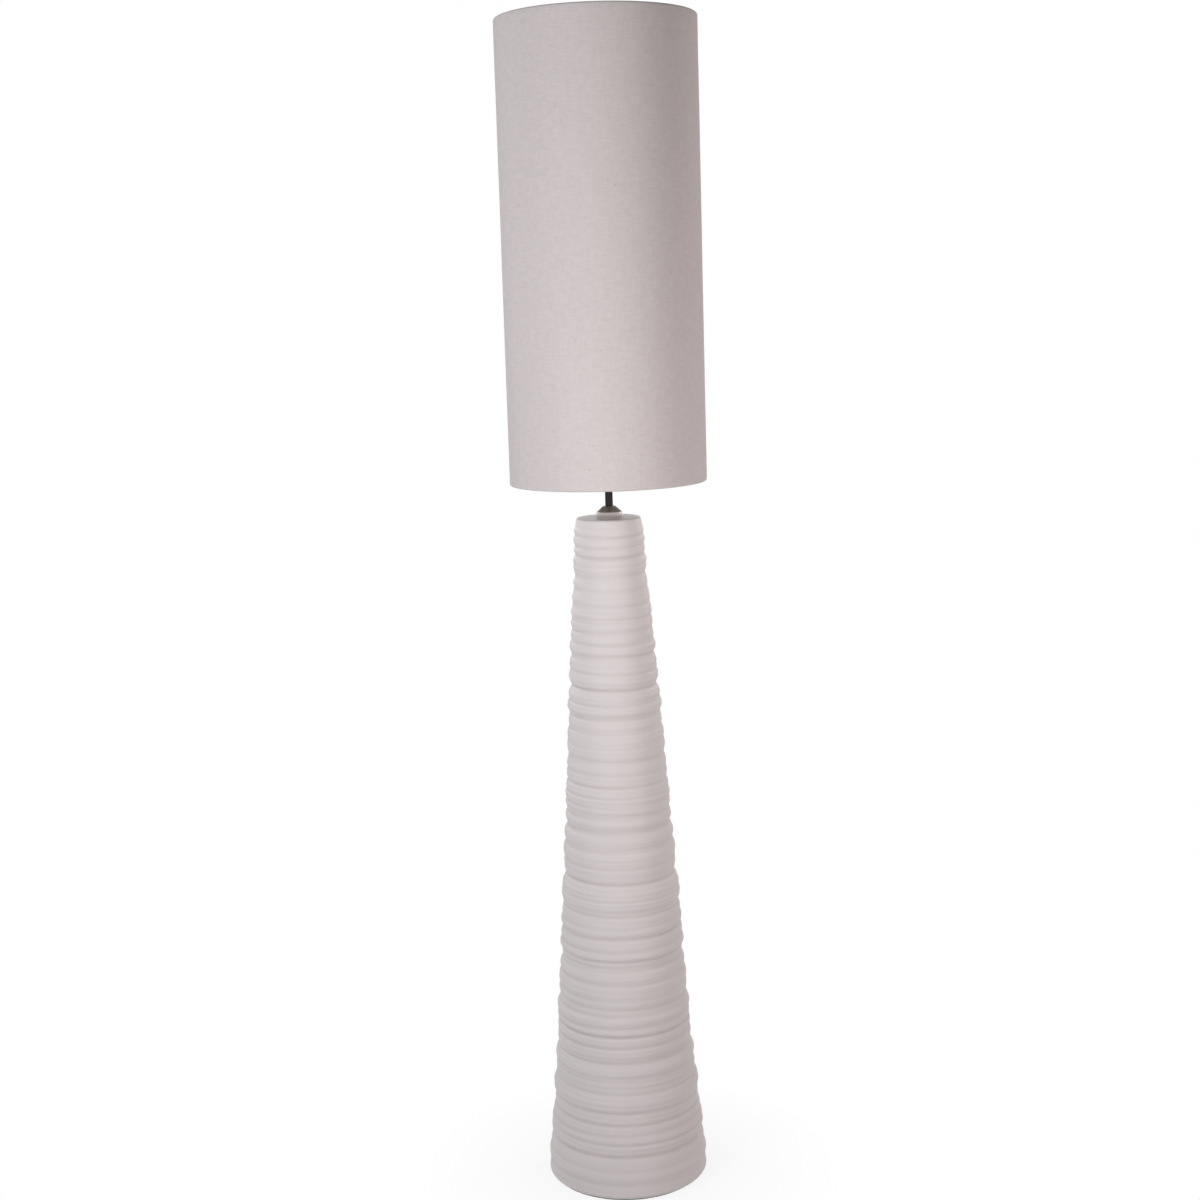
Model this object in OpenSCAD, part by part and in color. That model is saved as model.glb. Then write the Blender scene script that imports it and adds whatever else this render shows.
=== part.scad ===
// Column floor lamp: a hand-thrown ceramic column on a felt ring, clamped by a
// threaded rod between a nut below and a cap above, with a neck tube, a screw
// lampholder, its bulb and a tall cylinder shade.
// Millimetres, +Z up. The origin is on the floor, under the middle of the column.

/* [Column] */
// Height of the ceramic column
col_h = 912; // [600:1:1200]
// Diameter of the column where its sides meet the floor
foot_d = 220; // [190:1:280]
// Diameter of the column at its top
top_d = 86; // [70:1:120]
// How far the sides draw in above the foot
draw_in = 2.8; // [0:0.1:6]
// How strongly the throwing rings stand out
ring_strength = 1; // [0:0.1:1.2]
// Wall of the hollow column
wall = 7; // [5:0.5:12]
// Thickness of the raised floor inside the foot
floor_t = 8; // [5:0.5:14]
// Thickness of the closed top
top_t = 8; // [5:0.5:14]
// Height of the open recess under the raised floor
recess_h = 54; // [50:1:80]
// Width of the ring that the column stands on
foot_ring_w = 16; // [12:0.5:24]
// Rounding of the foot's outer edge
foot_round = 5; // [2:0.5:8]
// Rounding of the top's edge
top_round = 3; // [1:0.5:6]

/* [Foot] */
// Thickness of the felt ring
felt_t = 2; // [1:0.5:5]
// Height of the cord's inlet above the floor
cord_z = 16; // [13:0.5:24]
// Bore of the cord bush
cord_bore_d = 7; // [5:0.1:9]
// Diameter of the bush where it passes through the wall
bush_d = 11; // [10.5:0.1:14]
// Diameter of the bush's outer flange
bush_flange_d = 16; // [15:0.5:19]
// Thickness of the bush's outer flange
bush_flange_t = 2; // [1:0.1:4]
// Diameter of the rubber cushion under the raised floor
cushion_d = 48; // [40:1:70]
// Thickness of the rubber cushion
cushion_t = 3; // [1:0.5:4]
// Diameter of the steel washer
washer_d = 44; // [30:1:70]
// Thickness of the steel washer
washer_t = 2; // [1:0.1:3]
// Diameter of the spring washer
spring_washer_d = 17.6; // [15:0.1:22]
// Thickness of the spring washer
spring_washer_t = 2; // [1:0.1:3]
// Width across the flats of the nut
nut_af = 14; // [13:0.5:19]
// Height of the nut
nut_h = 4; // [3:0.5:6]

/* [Rod and neck] */
// Outer diameter of the threaded rod and of the neck tube
rod_d = 10; // [8:0.5:12]
// Bore of the threaded rod
rod_bore_d = 7.4; // [5:0.1:7.6]
// Bore of the neck tube
neck_bore_d = 8; // [5:0.1:8]
// How far the rod stands out below the nut
rod_out = 3; // [1:0.5:5]
// Diameter of the cap on the column
cap_d = 34; // [28:0.5:56]
// Height of the cap's upright band
cap_band = 6.5; // [2:0.5:10]
// Height of the cap's cone
cap_cone = 7.2; // [3:0.1:14]
// Diameter of the flat on top of the cone
cap_tip_d = 17; // [14:0.5:22]
// Diameter of the cap's spigot in the column's top hole
spigot_d = 15; // [14:0.5:20]
// Length of the cap's spigot
spigot_l = 24; // [14:1:40]
// Thickness of the gasket under the cap
gasket_t = 1; // [0.5:0.1:3]
// Open height between the column and the shade
neck_gap = 46; // [36:1:120]

/* [Lampholder] */
// Outer diameter of the lampholder
holder_d = 39.5; // [39:0.1:44]
// Height of the lampholder's cup, with its entry
cup_h = 28; // [26:0.5:36]
// Diameter of the entry at the cup's lower end
entry_d = 16; // [14:0.5:20]
// Height of the entry
entry_h = 8; // [6:0.5:12]
// Wall of the cup and of the shell
holder_wall = 1.8; // [1.4:0.1:2.4]
// Thickness of the porcelain insert
insert_h = 12; // [8:0.5:14]
// Diameter of the shoulder that carries the shade
shoulder_d = 47; // [45:0.5:56]
// Thickness of the shoulder
shoulder_t = 3; // [2:0.1:5]
// Height of the threaded skirt above the shoulder
skirt_h = 29; // [28:0.5:36]
// Inner diameter of the screw sleeve
sleeve_bore_d = 26.6; // [26.6:0.1:28]
// Wall of the screw sleeve
sleeve_wall = 0.7; // [0.4:0.1:1.2]
// Height of the centre contact's tongue above the insert
tongue_h = 3.6; // [2:0.1:5]
// Diameter of the shade ring
shade_ring_d = 57; // [52:0.5:64]
// Height of the shade ring
shade_ring_h = 13; // [9:0.5:20]

/* [Shade] */
// Outer diameter of the shade
shade_d = 260; // [200:1:400]
// Height of the shade
shade_h = 593; // [300:1:800]
// Height of the fitter above the shade's lower edge
fitter_drop = 60; // [45:1:110]
// Thickness of the fabric
fabric_t = 0.8; // [0.5:0.1:1.5]
// Thickness of the lining
liner_t = 0.8; // [0.5:0.1:1.5]
// Diameter of the ring wires and of the spider's arms
wire_d = 3; // [2:0.1:5]
// Height of the fabric that is turned in over the ring wires
turn_in = 10; // [7:0.5:20]
// Diameter of the fitter ring
fitter_d = 62; // [60:0.5:80]
// Thickness of the fitter ring
fitter_t = 2; // [1.5:0.1:3]
// Turn of the spider's three arms, from the first one at the back
arm_turn = 0; // [-60:1:60]

/* [Bulb] */
// Diameter of the bulb's glass
bulb_d = 60; // [45:1:80]
// Length of the bulb from its foot contact to its crown
bulb_l = 108; // [95:1:150]
// Wall of the bulb's glass
glass_t = 0.8; // [0.6:0.1:1.5]
// Diameter of the bulb's screw cap
bulb_cap_d = 26.4; // [26:0.1:26.4]
// Height of the bulb from its foot contact to the top of its screw cap
bulb_cap_h = 27; // [26:0.5:29]

/* [Clearances] */
// Radial clearance of threads that are drawn plain
thread_gap = 0.05; // [0.02:0.01:0.1]
// Gap left round pieces that are pushed home
seat_gap = 0.05; // [0.02:0.01:0.1]
// Radial clearance of pieces that slip over one another
slip_gap = 0.5; // [0.3:0.1:1]
// Gap between the shade ring and the fitter that it holds down
clamp_gap = 0.3; // [0.2:0.1:0.5]

/* [Hidden] */

$fn = 64;
// Past a cut face, so that cuts come out clean
over = 1;

// Throwing rings: height on a column of ring_list_h, then how far the clay
// swells out (+) or is pressed in (-) there
ring_list_h = 912;
rings = [
    [0, 0], [14, -1], [31, 1.5], [58, -1], [71, 1.5], [107, -1.5], [135, 2],
    [147, -1.5], [171, 1], [185, -2], [213, -0.5], [220, -1], [243, 1.5],
    [258, -2], [272, 1], [304, 0], [317, -3], [330, 1.5], [354, 0],
    [366, 1.5], [384, -0.5], [407, 2.5], [428, -2], [462, 1.5], [475, 0],
    [485, 1], [498, -2], [509, 0], [517, -1], [538, 1], [560, -0.5],
    [580, 0.5], [590, -1], [612, 1], [648, -1], [660, 1.5], [672, 1],
    [687, -2], [705, 1], [728, -1], [741, 1], [757, -0.5], [783, 0.5],
    [811, -0.5], [840, -2], [852, 1], [865, -0.5], [888, 1.5], [912, 0]
];
// Steps in the outline from one ring to the next
ring_steps = 5;
// Steps in the outline of the hollow inside
hollow_steps = 8;
// Step of the outline round an edge, in degrees
arc_step = 15;
// Share of the height above which the sides bow out instead of in
bow_cross = 0.7;
// Greatest value of the bow before it is scaled to draw_in
bow_peak = 0.121;

// Heights above the floor
col_top = felt_t + col_h;
floor_under = felt_t + recess_h;
cap_z = col_top + gasket_t;
cap_top = cap_z + cap_band + cap_cone;
shade_z = col_top + neck_gap;
shade_top = shade_z + shade_h;
fitter_z = shade_z + fitter_drop;
holder_z = fitter_z - shoulder_t - cup_h;
shell_z = holder_z + cup_h;
rim_z = fitter_z + skirt_h;
// Where the rod's upper end and the neck tube's lower end meet inside the cap
joint_z = cap_z - spigot_l / 3;
joint_gap = 0.3;
neck_end = holder_z + entry_h - over;

// Radii
recess_r = foot_d / 2 - foot_ring_w;
rod_r = rod_d / 2;
rod_hole_r = rod_r + slip_gap;
spigot_r = spigot_d / 2;
holder_r = holder_d / 2;
skirt_r = holder_r;

// Foot: the clamping stack hangs under the raised floor
washer_z = floor_under - cushion_t - washer_t;
spring_washer_z = washer_z - spring_washer_t;
nut_z = spring_washer_z - nut_h;
rod_z = nut_z - rod_out;
spring_washer_split = 1.5;
felt_inset = 1;
bush_seat = 1.5;
// Turns the seam of the inlet's round faces away from the column's rings
inlet_seam = 40;
bush_barb = 0.8;
bush_nose = 4;
flange_room = 0.5;

// Lampholder
dome_h = 8;
insert_z = shell_z - insert_h;
ledge_w = 1.6;
rim_t = 2;
rim_room = 0.5;
grub_d = 3;
grub_out = 1;
screw_d = 3.5;
screw_head_d = 6;
screw_head_t = 1.6;
terminal_r = 10;
screw_in = 8;
contact_t = 0.6;
contact_w = 6;
contact_foot_x = 9;
contact_rise_x = 4.5;
sleeve_end_room = 0.3;
ring_flange_t = 2.5;
ring_collar_r = 23;
ring_rib_r = 0.8;
ring_ribs = 24;

// Shade
shade_r = shade_d / 2;
fold_w = 2 * fabric_t + liner_t + wire_d;
wire_ring_r = shade_r - fabric_t - liner_t - wire_d / 2;
wire_lift = fold_w / 2;
arm_start_r = fitter_d / 2 - 1.5;
arm_start_z = fitter_z + fitter_t / 4;
notch_w = wire_d + 3;

// Bulb
contact_gap = 0.1;
bulb_z = shell_z + tongue_h + contact_gap;
foot_contact_r = 4.8;
foot_contact_h = 1.6;
insulator_r = 11.2;
insulator_z = 5.2;
insulator_h = 5.4;
bulb_cap_wall = 0.5;
bulb_neck_r = 12.4;
bulb_neck_in = 6;
// Where the flare of the neck meets the round of the bulb, below its equator
flare_angle = 40;
flare_steps = 8;

// Points along an arc from angle a to angle b, about [x, z]
function arc(x, z, r, a, b, step = arc_step) =
    let (n = ceil(abs(b - a) / step))
    [for (i = [0:n]) let (t = a + (b - a) * i / n) [x + r * cos(t), z + r * sin(t)]];

// 0 in a groove and 1 on a crest: narrow in the groove and round on the crest
function swell(t) = (sin(90 * t) + (1 - cos(180 * t)) / 2) / 2;

// Height of ring i on this column
function ring_height(i) = rings[i][0] * col_h / ring_list_h;

// Swelling between ring i and the next, at share t of the way
function ring_depth(i, t) =
    let (a = rings[i][1], b = rings[i + 1][1])
    ring_strength * (a < b ? a + (b - a) * swell(t) : b + (a - b) * swell(1 - t));

// Radius of the plain tapered side at height h above the foot
function side_r(h) =
    let (u = h / col_h, bow = u * (1 - u) * (1 - u / bow_cross) / bow_peak)
    foot_d / 2 + (top_d - foot_d) / 2 * u - draw_in * bow;

// Points of the ribbed side, between the two rounded edges
function ribbed_side() = [
    for (i = [0:len(rings) - 2])
        for (j = [0:ring_steps - 1])
            let (t = j / ring_steps, h = ring_height(i) + t * (ring_height(i + 1) - ring_height(i)))
                if (h > foot_round + over && h < col_h - top_round - over)
                    [side_r(h) + ring_depth(i, t), felt_t + h]
];

module tube(z0, z1, r, bore_r) {
    translate([0, 0, z0])
        difference() {
            cylinder(h = z1 - z0, r = r);
            translate([0, 0, -over])
                cylinder(h = z1 - z0 + 2 * over, r = bore_r);
        }
}

// Turns its children into the cord inlet's own frame: +Z runs out of the rear
module at_cord_inlet() {
    translate([0, 0, cord_z])
        rotate([-90, 0, 0])
            rotate([0, 0, inlet_seam])
                children();
}

bush_seat_y = side_r(cord_z - felt_t) - bush_seat;

module ceramic_column() {
    foot_edge = side_r(foot_round);
    top_edge = side_r(col_h - top_round);
    hollow_low = recess_h + floor_t;
    hollow_high = col_h - top_t;
    hole_r = bush_d / 2 + seat_gap;
    seat_r = bush_flange_d / 2 + flange_room;
    outline = concat(
        arc(foot_edge - foot_round, felt_t + foot_round, foot_round, -90, 0),
        ribbed_side(),
        arc(top_edge - top_round, col_top - top_round, top_round, 0, 90),
        [[spigot_r + slip_gap, col_top], [spigot_r + slip_gap, felt_t + hollow_high]],
        [for (i = [hollow_steps:-1:0])
            let (h = hollow_low + (hollow_high - hollow_low) * i / hollow_steps)
                [side_r(h) - wall, felt_t + h]],
        [[rod_hole_r, felt_t + hollow_low], [rod_hole_r, floor_under]],
        [[recess_r, floor_under], [recess_r, felt_t]]
    );
    color([0.86, 0.83, 0.81])
        difference() {
            rotate_extrude()
                polygon(outline);
            at_cord_inlet()
                rotate_extrude()
                    polygon([
                        [0, recess_r - bush_nose], [hole_r, recess_r - bush_nose],
                        [hole_r, bush_seat_y], [seat_r, bush_seat_y],
                        [seat_r, foot_d / 2 + bush_nose], [0, foot_d / 2 + bush_nose]
                    ]);
        }
}

module felt_ring() {
    color([0.30, 0.28, 0.27])
        tube(0, felt_t, foot_d / 2 - foot_round - felt_inset, recess_r + felt_inset);
}

module cord_bush() {
    low = recess_r - bush_nose;
    barb_z = recess_r - bush_barb;
    seat_z = bush_seat_y + seat_gap;
    bore_r = cord_bore_d / 2;
    body_r = bush_d / 2;
    flange_r = bush_flange_d / 2;
    color([0.12, 0.12, 0.12])
        at_cord_inlet()
            rotate_extrude()
                polygon([
                    [bore_r, low], [body_r - bush_barb, low],
                    [body_r + bush_barb, barb_z - bush_barb], [body_r + bush_barb, barb_z],
                    [body_r, barb_z], [body_r, seat_z], [flange_r, seat_z],
                    [flange_r, seat_z + bush_flange_t / 2],
                    [flange_r - bush_flange_t / 2, seat_z + bush_flange_t],
                    [bore_r, seat_z + bush_flange_t]
                ]);
}

module foot_cushion() {
    color([0.15, 0.15, 0.15])
        tube(floor_under - cushion_t, floor_under, cushion_d / 2, rod_hole_r);
}

module foot_washer() {
    color([0.72, 0.72, 0.70])
        tube(washer_z, washer_z + washer_t, washer_d / 2, rod_hole_r);
}

module spring_washer() {
    color([0.60, 0.60, 0.58])
        difference() {
            tube(spring_washer_z, spring_washer_z + spring_washer_t,
                spring_washer_d / 2, rod_hole_r);
            translate([0, -spring_washer_split / 2, spring_washer_z - over])
                cube([spring_washer_d, spring_washer_split, spring_washer_t + 2 * over]);
        }
}

module foot_nut() {
    color([0.74, 0.72, 0.64])
        translate([0, 0, nut_z])
            difference() {
                cylinder(h = nut_h, d = nut_af / cos(30), $fn = 6);
                translate([0, 0, -over])
                    cylinder(h = nut_h + 2 * over, r = rod_r + thread_gap);
            }
}

module threaded_rod() {
    color([0.74, 0.72, 0.64])
        tube(rod_z, joint_z - joint_gap, rod_r, rod_bore_d / 2);
}

module cap_gasket() {
    color([0.80, 0.79, 0.76])
        tube(col_top, cap_z, cap_d / 2 - gasket_t, spigot_r + slip_gap);
}

module column_cap() {
    cone_z = cap_z + cap_band;
    edge = 0.6;
    color([0.28, 0.27, 0.28])
        rotate_extrude()
            polygon(concat(
                [[rod_r + thread_gap, cap_z - spigot_l], [spigot_r, cap_z - spigot_l]],
                [[spigot_r, cap_z], [cap_d / 2 - edge / 2, cap_z], [cap_d / 2, cap_z + edge / 2]],
                arc(cap_d / 2 - edge, cone_z, edge, 0, 45),
                [[cap_tip_d / 2, cap_top - edge / 2], [cap_tip_d / 2 - edge, cap_top]],
                [[rod_r + thread_gap, cap_top]]
            ));
}

module neck_tube() {
    color([0.20, 0.19, 0.20])
        tube(joint_z, neck_end, rod_r, neck_bore_d / 2);
}

module holder_cup() {
    dome_z = holder_z + entry_h - holder_wall;
    entry_r = entry_d / 2;
    inner_r = holder_r - holder_wall;
    ledge_r = inner_r - ledge_w;
    outer_dome = [for (a = [0:arc_step:90])
        [entry_r + (holder_r - entry_r) * sin(a), dome_z + dome_h * (1 - cos(a))]];
    inner_dome = [for (a = [90:-arc_step:0])
        [rod_r + 1 + (ledge_r - rod_r - 1) * sin(a), holder_z + entry_h + dome_h * (1 - cos(a)) / 2]];
    color([0.10, 0.10, 0.10])
        difference() {
            rotate_extrude()
                polygon(concat(
                    [[rod_r + thread_gap, holder_z], [entry_r, holder_z]],
                    outer_dome,
                    [[holder_r, shell_z], [inner_r, shell_z], [inner_r, insert_z]],
                    [[ledge_r, insert_z]],
                    inner_dome,
                    [[rod_r + thread_gap, holder_z + entry_h]]
                ));
            at_grub_screw()
                cylinder(h = entry_d, r = grub_d / 2 + thread_gap);
        }
}

// The grub screw enters the entry from the rear, against the neck tube
module at_grub_screw() {
    translate([0, 0, holder_z + entry_h / 2 - holder_wall / 2])
        rotate([-90, 0, 0])
            children();
}

module holder_grub_screw() {
    slot_w = 0.6;
    slot_depth = 0.8;
    screw_end = entry_d / 2 + grub_out;
    color([0.70, 0.69, 0.66])
        at_grub_screw()
            difference() {
                translate([0, 0, rod_r])
                    cylinder(h = screw_end - rod_r, r = grub_d / 2);
                translate([-grub_d, -slot_w / 2, screw_end - slot_depth])
                    cube([2 * grub_d, slot_w, slot_depth + over]);
            }
}

module holder_insert() {
    lead_hole_r = 2.5;
    color([0.93, 0.92, 0.88])
        translate([0, 0, insert_z])
            difference() {
                cylinder(h = insert_h, r = holder_r - holder_wall - seat_gap);
                for (side = [-1, 1]) {
                    translate([side * terminal_r, 0, -over])
                        cylinder(h = screw_in + over, r = screw_d / 2 + thread_gap);
                    translate([0, side * terminal_r, -over])
                        cylinder(h = insert_h + 2 * over, r = lead_hole_r);
                }
            }
}

module terminal_screws() {
    color([0.80, 0.66, 0.35])
        for (side = [-1, 1])
            translate([side * terminal_r, 0, insert_z - screw_head_t]) {
                cylinder(h = screw_head_t, r = screw_head_d / 2);
                cylinder(h = screw_head_t + screw_in, r = screw_d / 2);
            }
}

module centre_contact() {
    color([0.82, 0.66, 0.32])
        translate([0, contact_w / 2, shell_z])
            rotate([90, 0, 0])
                linear_extrude(contact_w)
                    polygon([
                        [-contact_foot_x, 0], [-contact_rise_x, 0],
                        [-contact_rise_x / 2, tongue_h - contact_t],
                        [contact_rise_x / 2, tongue_h - contact_t],
                        [contact_rise_x, tongue_h - 2 * contact_t],
                        [contact_rise_x, tongue_h - contact_t],
                        [contact_rise_x / 2, tongue_h], [-contact_rise_x / 2, tongue_h],
                        [-contact_rise_x, contact_t], [-contact_foot_x, contact_t]
                    ]);
}

module screw_sleeve() {
    color([0.82, 0.66, 0.32])
        tube(shell_z, rim_z - rim_t - sleeve_end_room,
            sleeve_bore_d / 2 + sleeve_wall, sleeve_bore_d / 2);
}

module holder_shell() {
    inner_r = skirt_r - holder_wall;
    press_r = inner_r - ledge_w;
    press_t = 2;
    edge = 0.5;
    color([0.10, 0.10, 0.10])
        rotate_extrude()
            polygon([
                [press_r, shell_z], [shoulder_d / 2 - edge, shell_z],
                [shoulder_d / 2, shell_z + edge], [shoulder_d / 2, fitter_z],
                [skirt_r, fitter_z], [skirt_r, rim_z - edge], [skirt_r - edge, rim_z],
                [sleeve_bore_d / 2 + rim_room, rim_z], [sleeve_bore_d / 2 + rim_room, rim_z - rim_t],
                [inner_r, rim_z - rim_t], [inner_r, shell_z + press_t], [press_r, shell_z + press_t]
            ]);
}

module shade_ring() {
    low = fitter_z + fitter_t + clamp_gap;
    bore_r = skirt_r + thread_gap;
    edge = 0.6;
    color([0.10, 0.10, 0.10]) {
        rotate_extrude()
            polygon([
                [bore_r, low], [shade_ring_d / 2, low],
                [shade_ring_d / 2, low + ring_flange_t - edge],
                [shade_ring_d / 2 - edge, low + ring_flange_t],
                [ring_collar_r, low + 2 * ring_flange_t],
                [ring_collar_r, low + shade_ring_h - edge],
                [ring_collar_r - edge, low + shade_ring_h], [bore_r, low + shade_ring_h]
            ]);
        for (i = [0:ring_ribs - 1])
            rotate([0, 0, i * 360 / ring_ribs])
                translate([ring_collar_r, 0, low + ring_flange_t])
                    cylinder(h = shade_ring_h - ring_flange_t - edge, r = ring_rib_r);
    }
}

module fitter_ring() {
    color([0.92, 0.92, 0.90])
        tube(fitter_z, fitter_z + fitter_t, fitter_d / 2, skirt_r + slip_gap);
}

// Direction of arm i, counted from the back of the lamp
function arm_angle(i) = 90 + arm_turn + i * 120;

// A straight wire from the fitter ring down to the bottom wire
module spider_arm(i) {
    run = wire_ring_r - arm_start_r;
    fall = arm_start_z - shade_z - wire_lift;
    color([0.92, 0.92, 0.90])
        rotate([0, 0, arm_angle(i)])
            translate([arm_start_r, 0, arm_start_z])
                rotate([0, 90 + atan2(fall, run), 0])
                    cylinder(h = norm([run, fall]), r = wire_d / 2);
}

module ring_wire(z) {
    color([0.92, 0.92, 0.90])
        rotate_extrude()
            translate([wire_ring_r, z])
                circle(r = wire_d / 2);
}

module top_wire() {
    ring_wire(shade_top - wire_lift);
}

module bottom_wire() {
    ring_wire(shade_z + wire_lift);
}

module shade_lining() {
    color([0.95, 0.94, 0.90])
        tube(shade_z + wire_lift, shade_top - wire_lift,
            shade_r - fabric_t, shade_r - fabric_t - liner_t);
}

// One sheet, turned in round both ring wires, with a notch for each arm
module shade_fabric() {
    fold_r = fold_w / 2;
    fold_x = shade_r - fold_r;
    inner_x = shade_r - fold_w;
    low = shade_z + fold_r;
    high = shade_top - fold_r;
    outline = concat(
        arc(fold_x, low, fold_r, 0, -180),
        [[inner_x, shade_z + turn_in], [inner_x + fabric_t, shade_z + turn_in]],
        arc(fold_x, low, fold_r - fabric_t, -180, 0),
        arc(fold_x, high, fold_r - fabric_t, 0, 180),
        [[inner_x + fabric_t, shade_top - turn_in], [inner_x, shade_top - turn_in]],
        arc(fold_x, high, fold_r, 180, 0)
    );
    color([0.78, 0.75, 0.72])
        difference() {
            rotate_extrude()
                polygon(outline);
            for (i = [0:2])
                rotate([0, 0, arm_angle(i)])
                    translate([inner_x - over, -notch_w / 2, low - wire_d / 2])
                        cube([fabric_t + 2 * over, notch_w, turn_in + over]);
        }
}

module bulb_contact() {
    color([0.75, 0.75, 0.74])
        rotate_extrude()
            polygon([
                [0, bulb_z], [foot_contact_r / 2, bulb_z],
                [foot_contact_r, bulb_z + foot_contact_h / 2],
                [foot_contact_r, bulb_z + foot_contact_h], [0, bulb_z + foot_contact_h]
            ]);
}

module bulb_insulator() {
    low = bulb_z + foot_contact_h;
    color([0.08, 0.08, 0.09])
        rotate_extrude()
            polygon([
                [0, low], [foot_contact_r, low], [insulator_r, bulb_z + insulator_z],
                [insulator_r, low + insulator_h], [0, low + insulator_h]
            ]);
}

module bulb_cap() {
    cap_r = bulb_cap_d / 2;
    low = bulb_z + insulator_z;
    shoulder_z = low + cap_r - insulator_r;
    top = bulb_z + bulb_cap_h;
    color([0.78, 0.77, 0.74])
        rotate_extrude()
            polygon([
                [insulator_r, low], [cap_r, shoulder_z], [cap_r, top],
                [cap_r - bulb_cap_wall, top], [cap_r - bulb_cap_wall, shoulder_z + bulb_cap_wall],
                [insulator_r, low + 2 * bulb_cap_wall]
            ]);
}

// Radius of the flaring neck at share t of its height, eased into the round
function flare_r(t, r0, r1, slope) =
    r0 + (r1 - r0) * (3 * t * t - 2 * t * t * t) + slope * (t * t * t - t * t);

// Outline of the glass, drawn in by d from its outer face
function glass_outline(d) =
    let (r = bulb_d / 2 - d, round_z = bulb_z + bulb_l - bulb_d / 2,
        neck_z = bulb_z + bulb_cap_h, neck = bulb_neck_r - d,
        meet_z = round_z - r * sin(flare_angle), meet_r = r * cos(flare_angle),
        slope = (meet_z - neck_z) * tan(flare_angle))
    concat(
        [[neck, neck_z - bulb_neck_in]],
        [for (i = [0:flare_steps - 1])
            let (t = i / flare_steps)
                [flare_r(t, neck, meet_r, slope), neck_z + t * (meet_z - neck_z)]],
        arc(0, round_z, r, -flare_angle, 90, 5)
    );

module bulb_glass() {
    outer = glass_outline(0);
    inner = glass_outline(glass_t);
    n = len(inner);
    color([0.95, 0.95, 0.93])
        rotate_extrude()
            polygon(concat(outer, [for (i = [n - 1:-1:0]) inner[i]]));
}

ceramic_column();
felt_ring();
cord_bush();
foot_cushion();
foot_washer();
spring_washer();
foot_nut();
threaded_rod();
cap_gasket();
column_cap();
neck_tube();
holder_cup();
holder_grub_screw();
holder_insert();
terminal_screws();
centre_contact();
screw_sleeve();
holder_shell();
shade_ring();
fitter_ring();
spider_arm(0);  // spider_arm_1
spider_arm(1);  // spider_arm_2
spider_arm(2);  // spider_arm_3
top_wire();
bottom_wire();
shade_lining();
shade_fabric();
bulb_contact();
bulb_insulator();
bulb_cap();
bulb_glass();
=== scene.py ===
"""Column floor lamp: the looks of every piece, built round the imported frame.

A hand-thrown stoneware column stands on a felt ring. A polished cap and a neck tube carry
a screw lampholder with its bulb, and a tall cylinder shade of linen over a plastic lining.
Sizes are millimetres unless a name says otherwise; the frame is in metres.
"""

import math

import bmesh
import bpy
import numpy as np
from bpy.props import FloatProperty, FloatVectorProperty, IntProperty, PointerProperty
from mathutils import Matrix, Vector


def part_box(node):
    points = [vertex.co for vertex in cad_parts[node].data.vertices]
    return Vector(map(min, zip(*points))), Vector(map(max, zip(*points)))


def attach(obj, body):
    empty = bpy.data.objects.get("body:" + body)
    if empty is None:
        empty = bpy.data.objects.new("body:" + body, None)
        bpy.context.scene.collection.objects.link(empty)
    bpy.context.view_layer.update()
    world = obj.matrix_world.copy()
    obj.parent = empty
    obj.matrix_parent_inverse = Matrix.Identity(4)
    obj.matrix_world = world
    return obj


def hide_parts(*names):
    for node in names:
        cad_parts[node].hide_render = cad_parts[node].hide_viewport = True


bl_info = {
    "name": "Column Floor Lamp",
    "version": (1, 0, 0),
    "blender": (4, 5, 0),
    "location": "View3D > Sidebar > Lamp",
    "description": "A stoneware column floor lamp with a tall linen shade",
    "category": "Add Mesh",
}

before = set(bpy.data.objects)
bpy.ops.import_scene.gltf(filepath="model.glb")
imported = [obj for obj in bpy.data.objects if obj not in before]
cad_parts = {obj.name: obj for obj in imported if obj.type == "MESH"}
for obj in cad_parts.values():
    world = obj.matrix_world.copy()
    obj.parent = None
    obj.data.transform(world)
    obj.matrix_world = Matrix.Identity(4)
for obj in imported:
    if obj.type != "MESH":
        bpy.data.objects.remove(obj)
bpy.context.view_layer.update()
MM = 0.001
FULL_TURN = 2 * math.pi
# What all the colour settings share
COLOUR = {"subtype": "COLOR", "size": 3, "min": 0, "max": 1}


def span(node):
    """Lowest and highest corner of a node, in millimetres."""
    low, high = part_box(node)
    return low / MM, high / MM


def radius_of(node):
    """Outer radius of a node that is turned about the lamp's axis, in millimetres."""
    low, high = span(node)
    return (high.x - low.x) / 2


def heights_of(node):
    """Lowest and highest point of a node, in millimetres."""
    low, high = span(node)
    return low.z, high.z


# ---------------------------------------------------------------- colours and nodes


def linear(hex_colour):
    """An sRGB hex colour as three linear values."""
    values = [int(hex_colour[i : i + 2], 16) / 255 for i in (1, 3, 5)]
    return tuple(v / 12.92 if v <= 0.04045 else ((v + 0.055) / 1.055) ** 2.4 for v in values)


def add_node(tree, kind, settings=None, inputs=None):
    """Adds a node with its settings. An input takes a value, or another node's output."""
    node = tree.nodes.new(kind)
    for name, value in (settings or {}).items():
        setattr(node, name, value)
    for name, value in (inputs or {}).items():
        if isinstance(value, bpy.types.NodeSocket):
            tree.links.new(value, node.inputs[name])
        else:
            node.inputs[name].default_value = value
    return node


def new_material(name, colour, roughness, metallic=0.0, **sockets):
    """A material with one main shader, its linear colour and what is the same all over it."""
    material = bpy.data.materials.new(name)
    material.use_nodes = True
    tree = material.node_tree
    shader = tree.nodes["Principled BSDF"]
    shader.inputs["Base Color"].default_value = (*colour, 1)
    shader.inputs["Roughness"].default_value = roughness
    shader.inputs["Metallic"].default_value = metallic
    for socket, value in sockets.items():
        shader.inputs[socket.replace("_", " ").title()].default_value = value
    place = add_node(tree, "ShaderNodeTexCoord").outputs["Object"]
    return material, tree, shader, place


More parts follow.
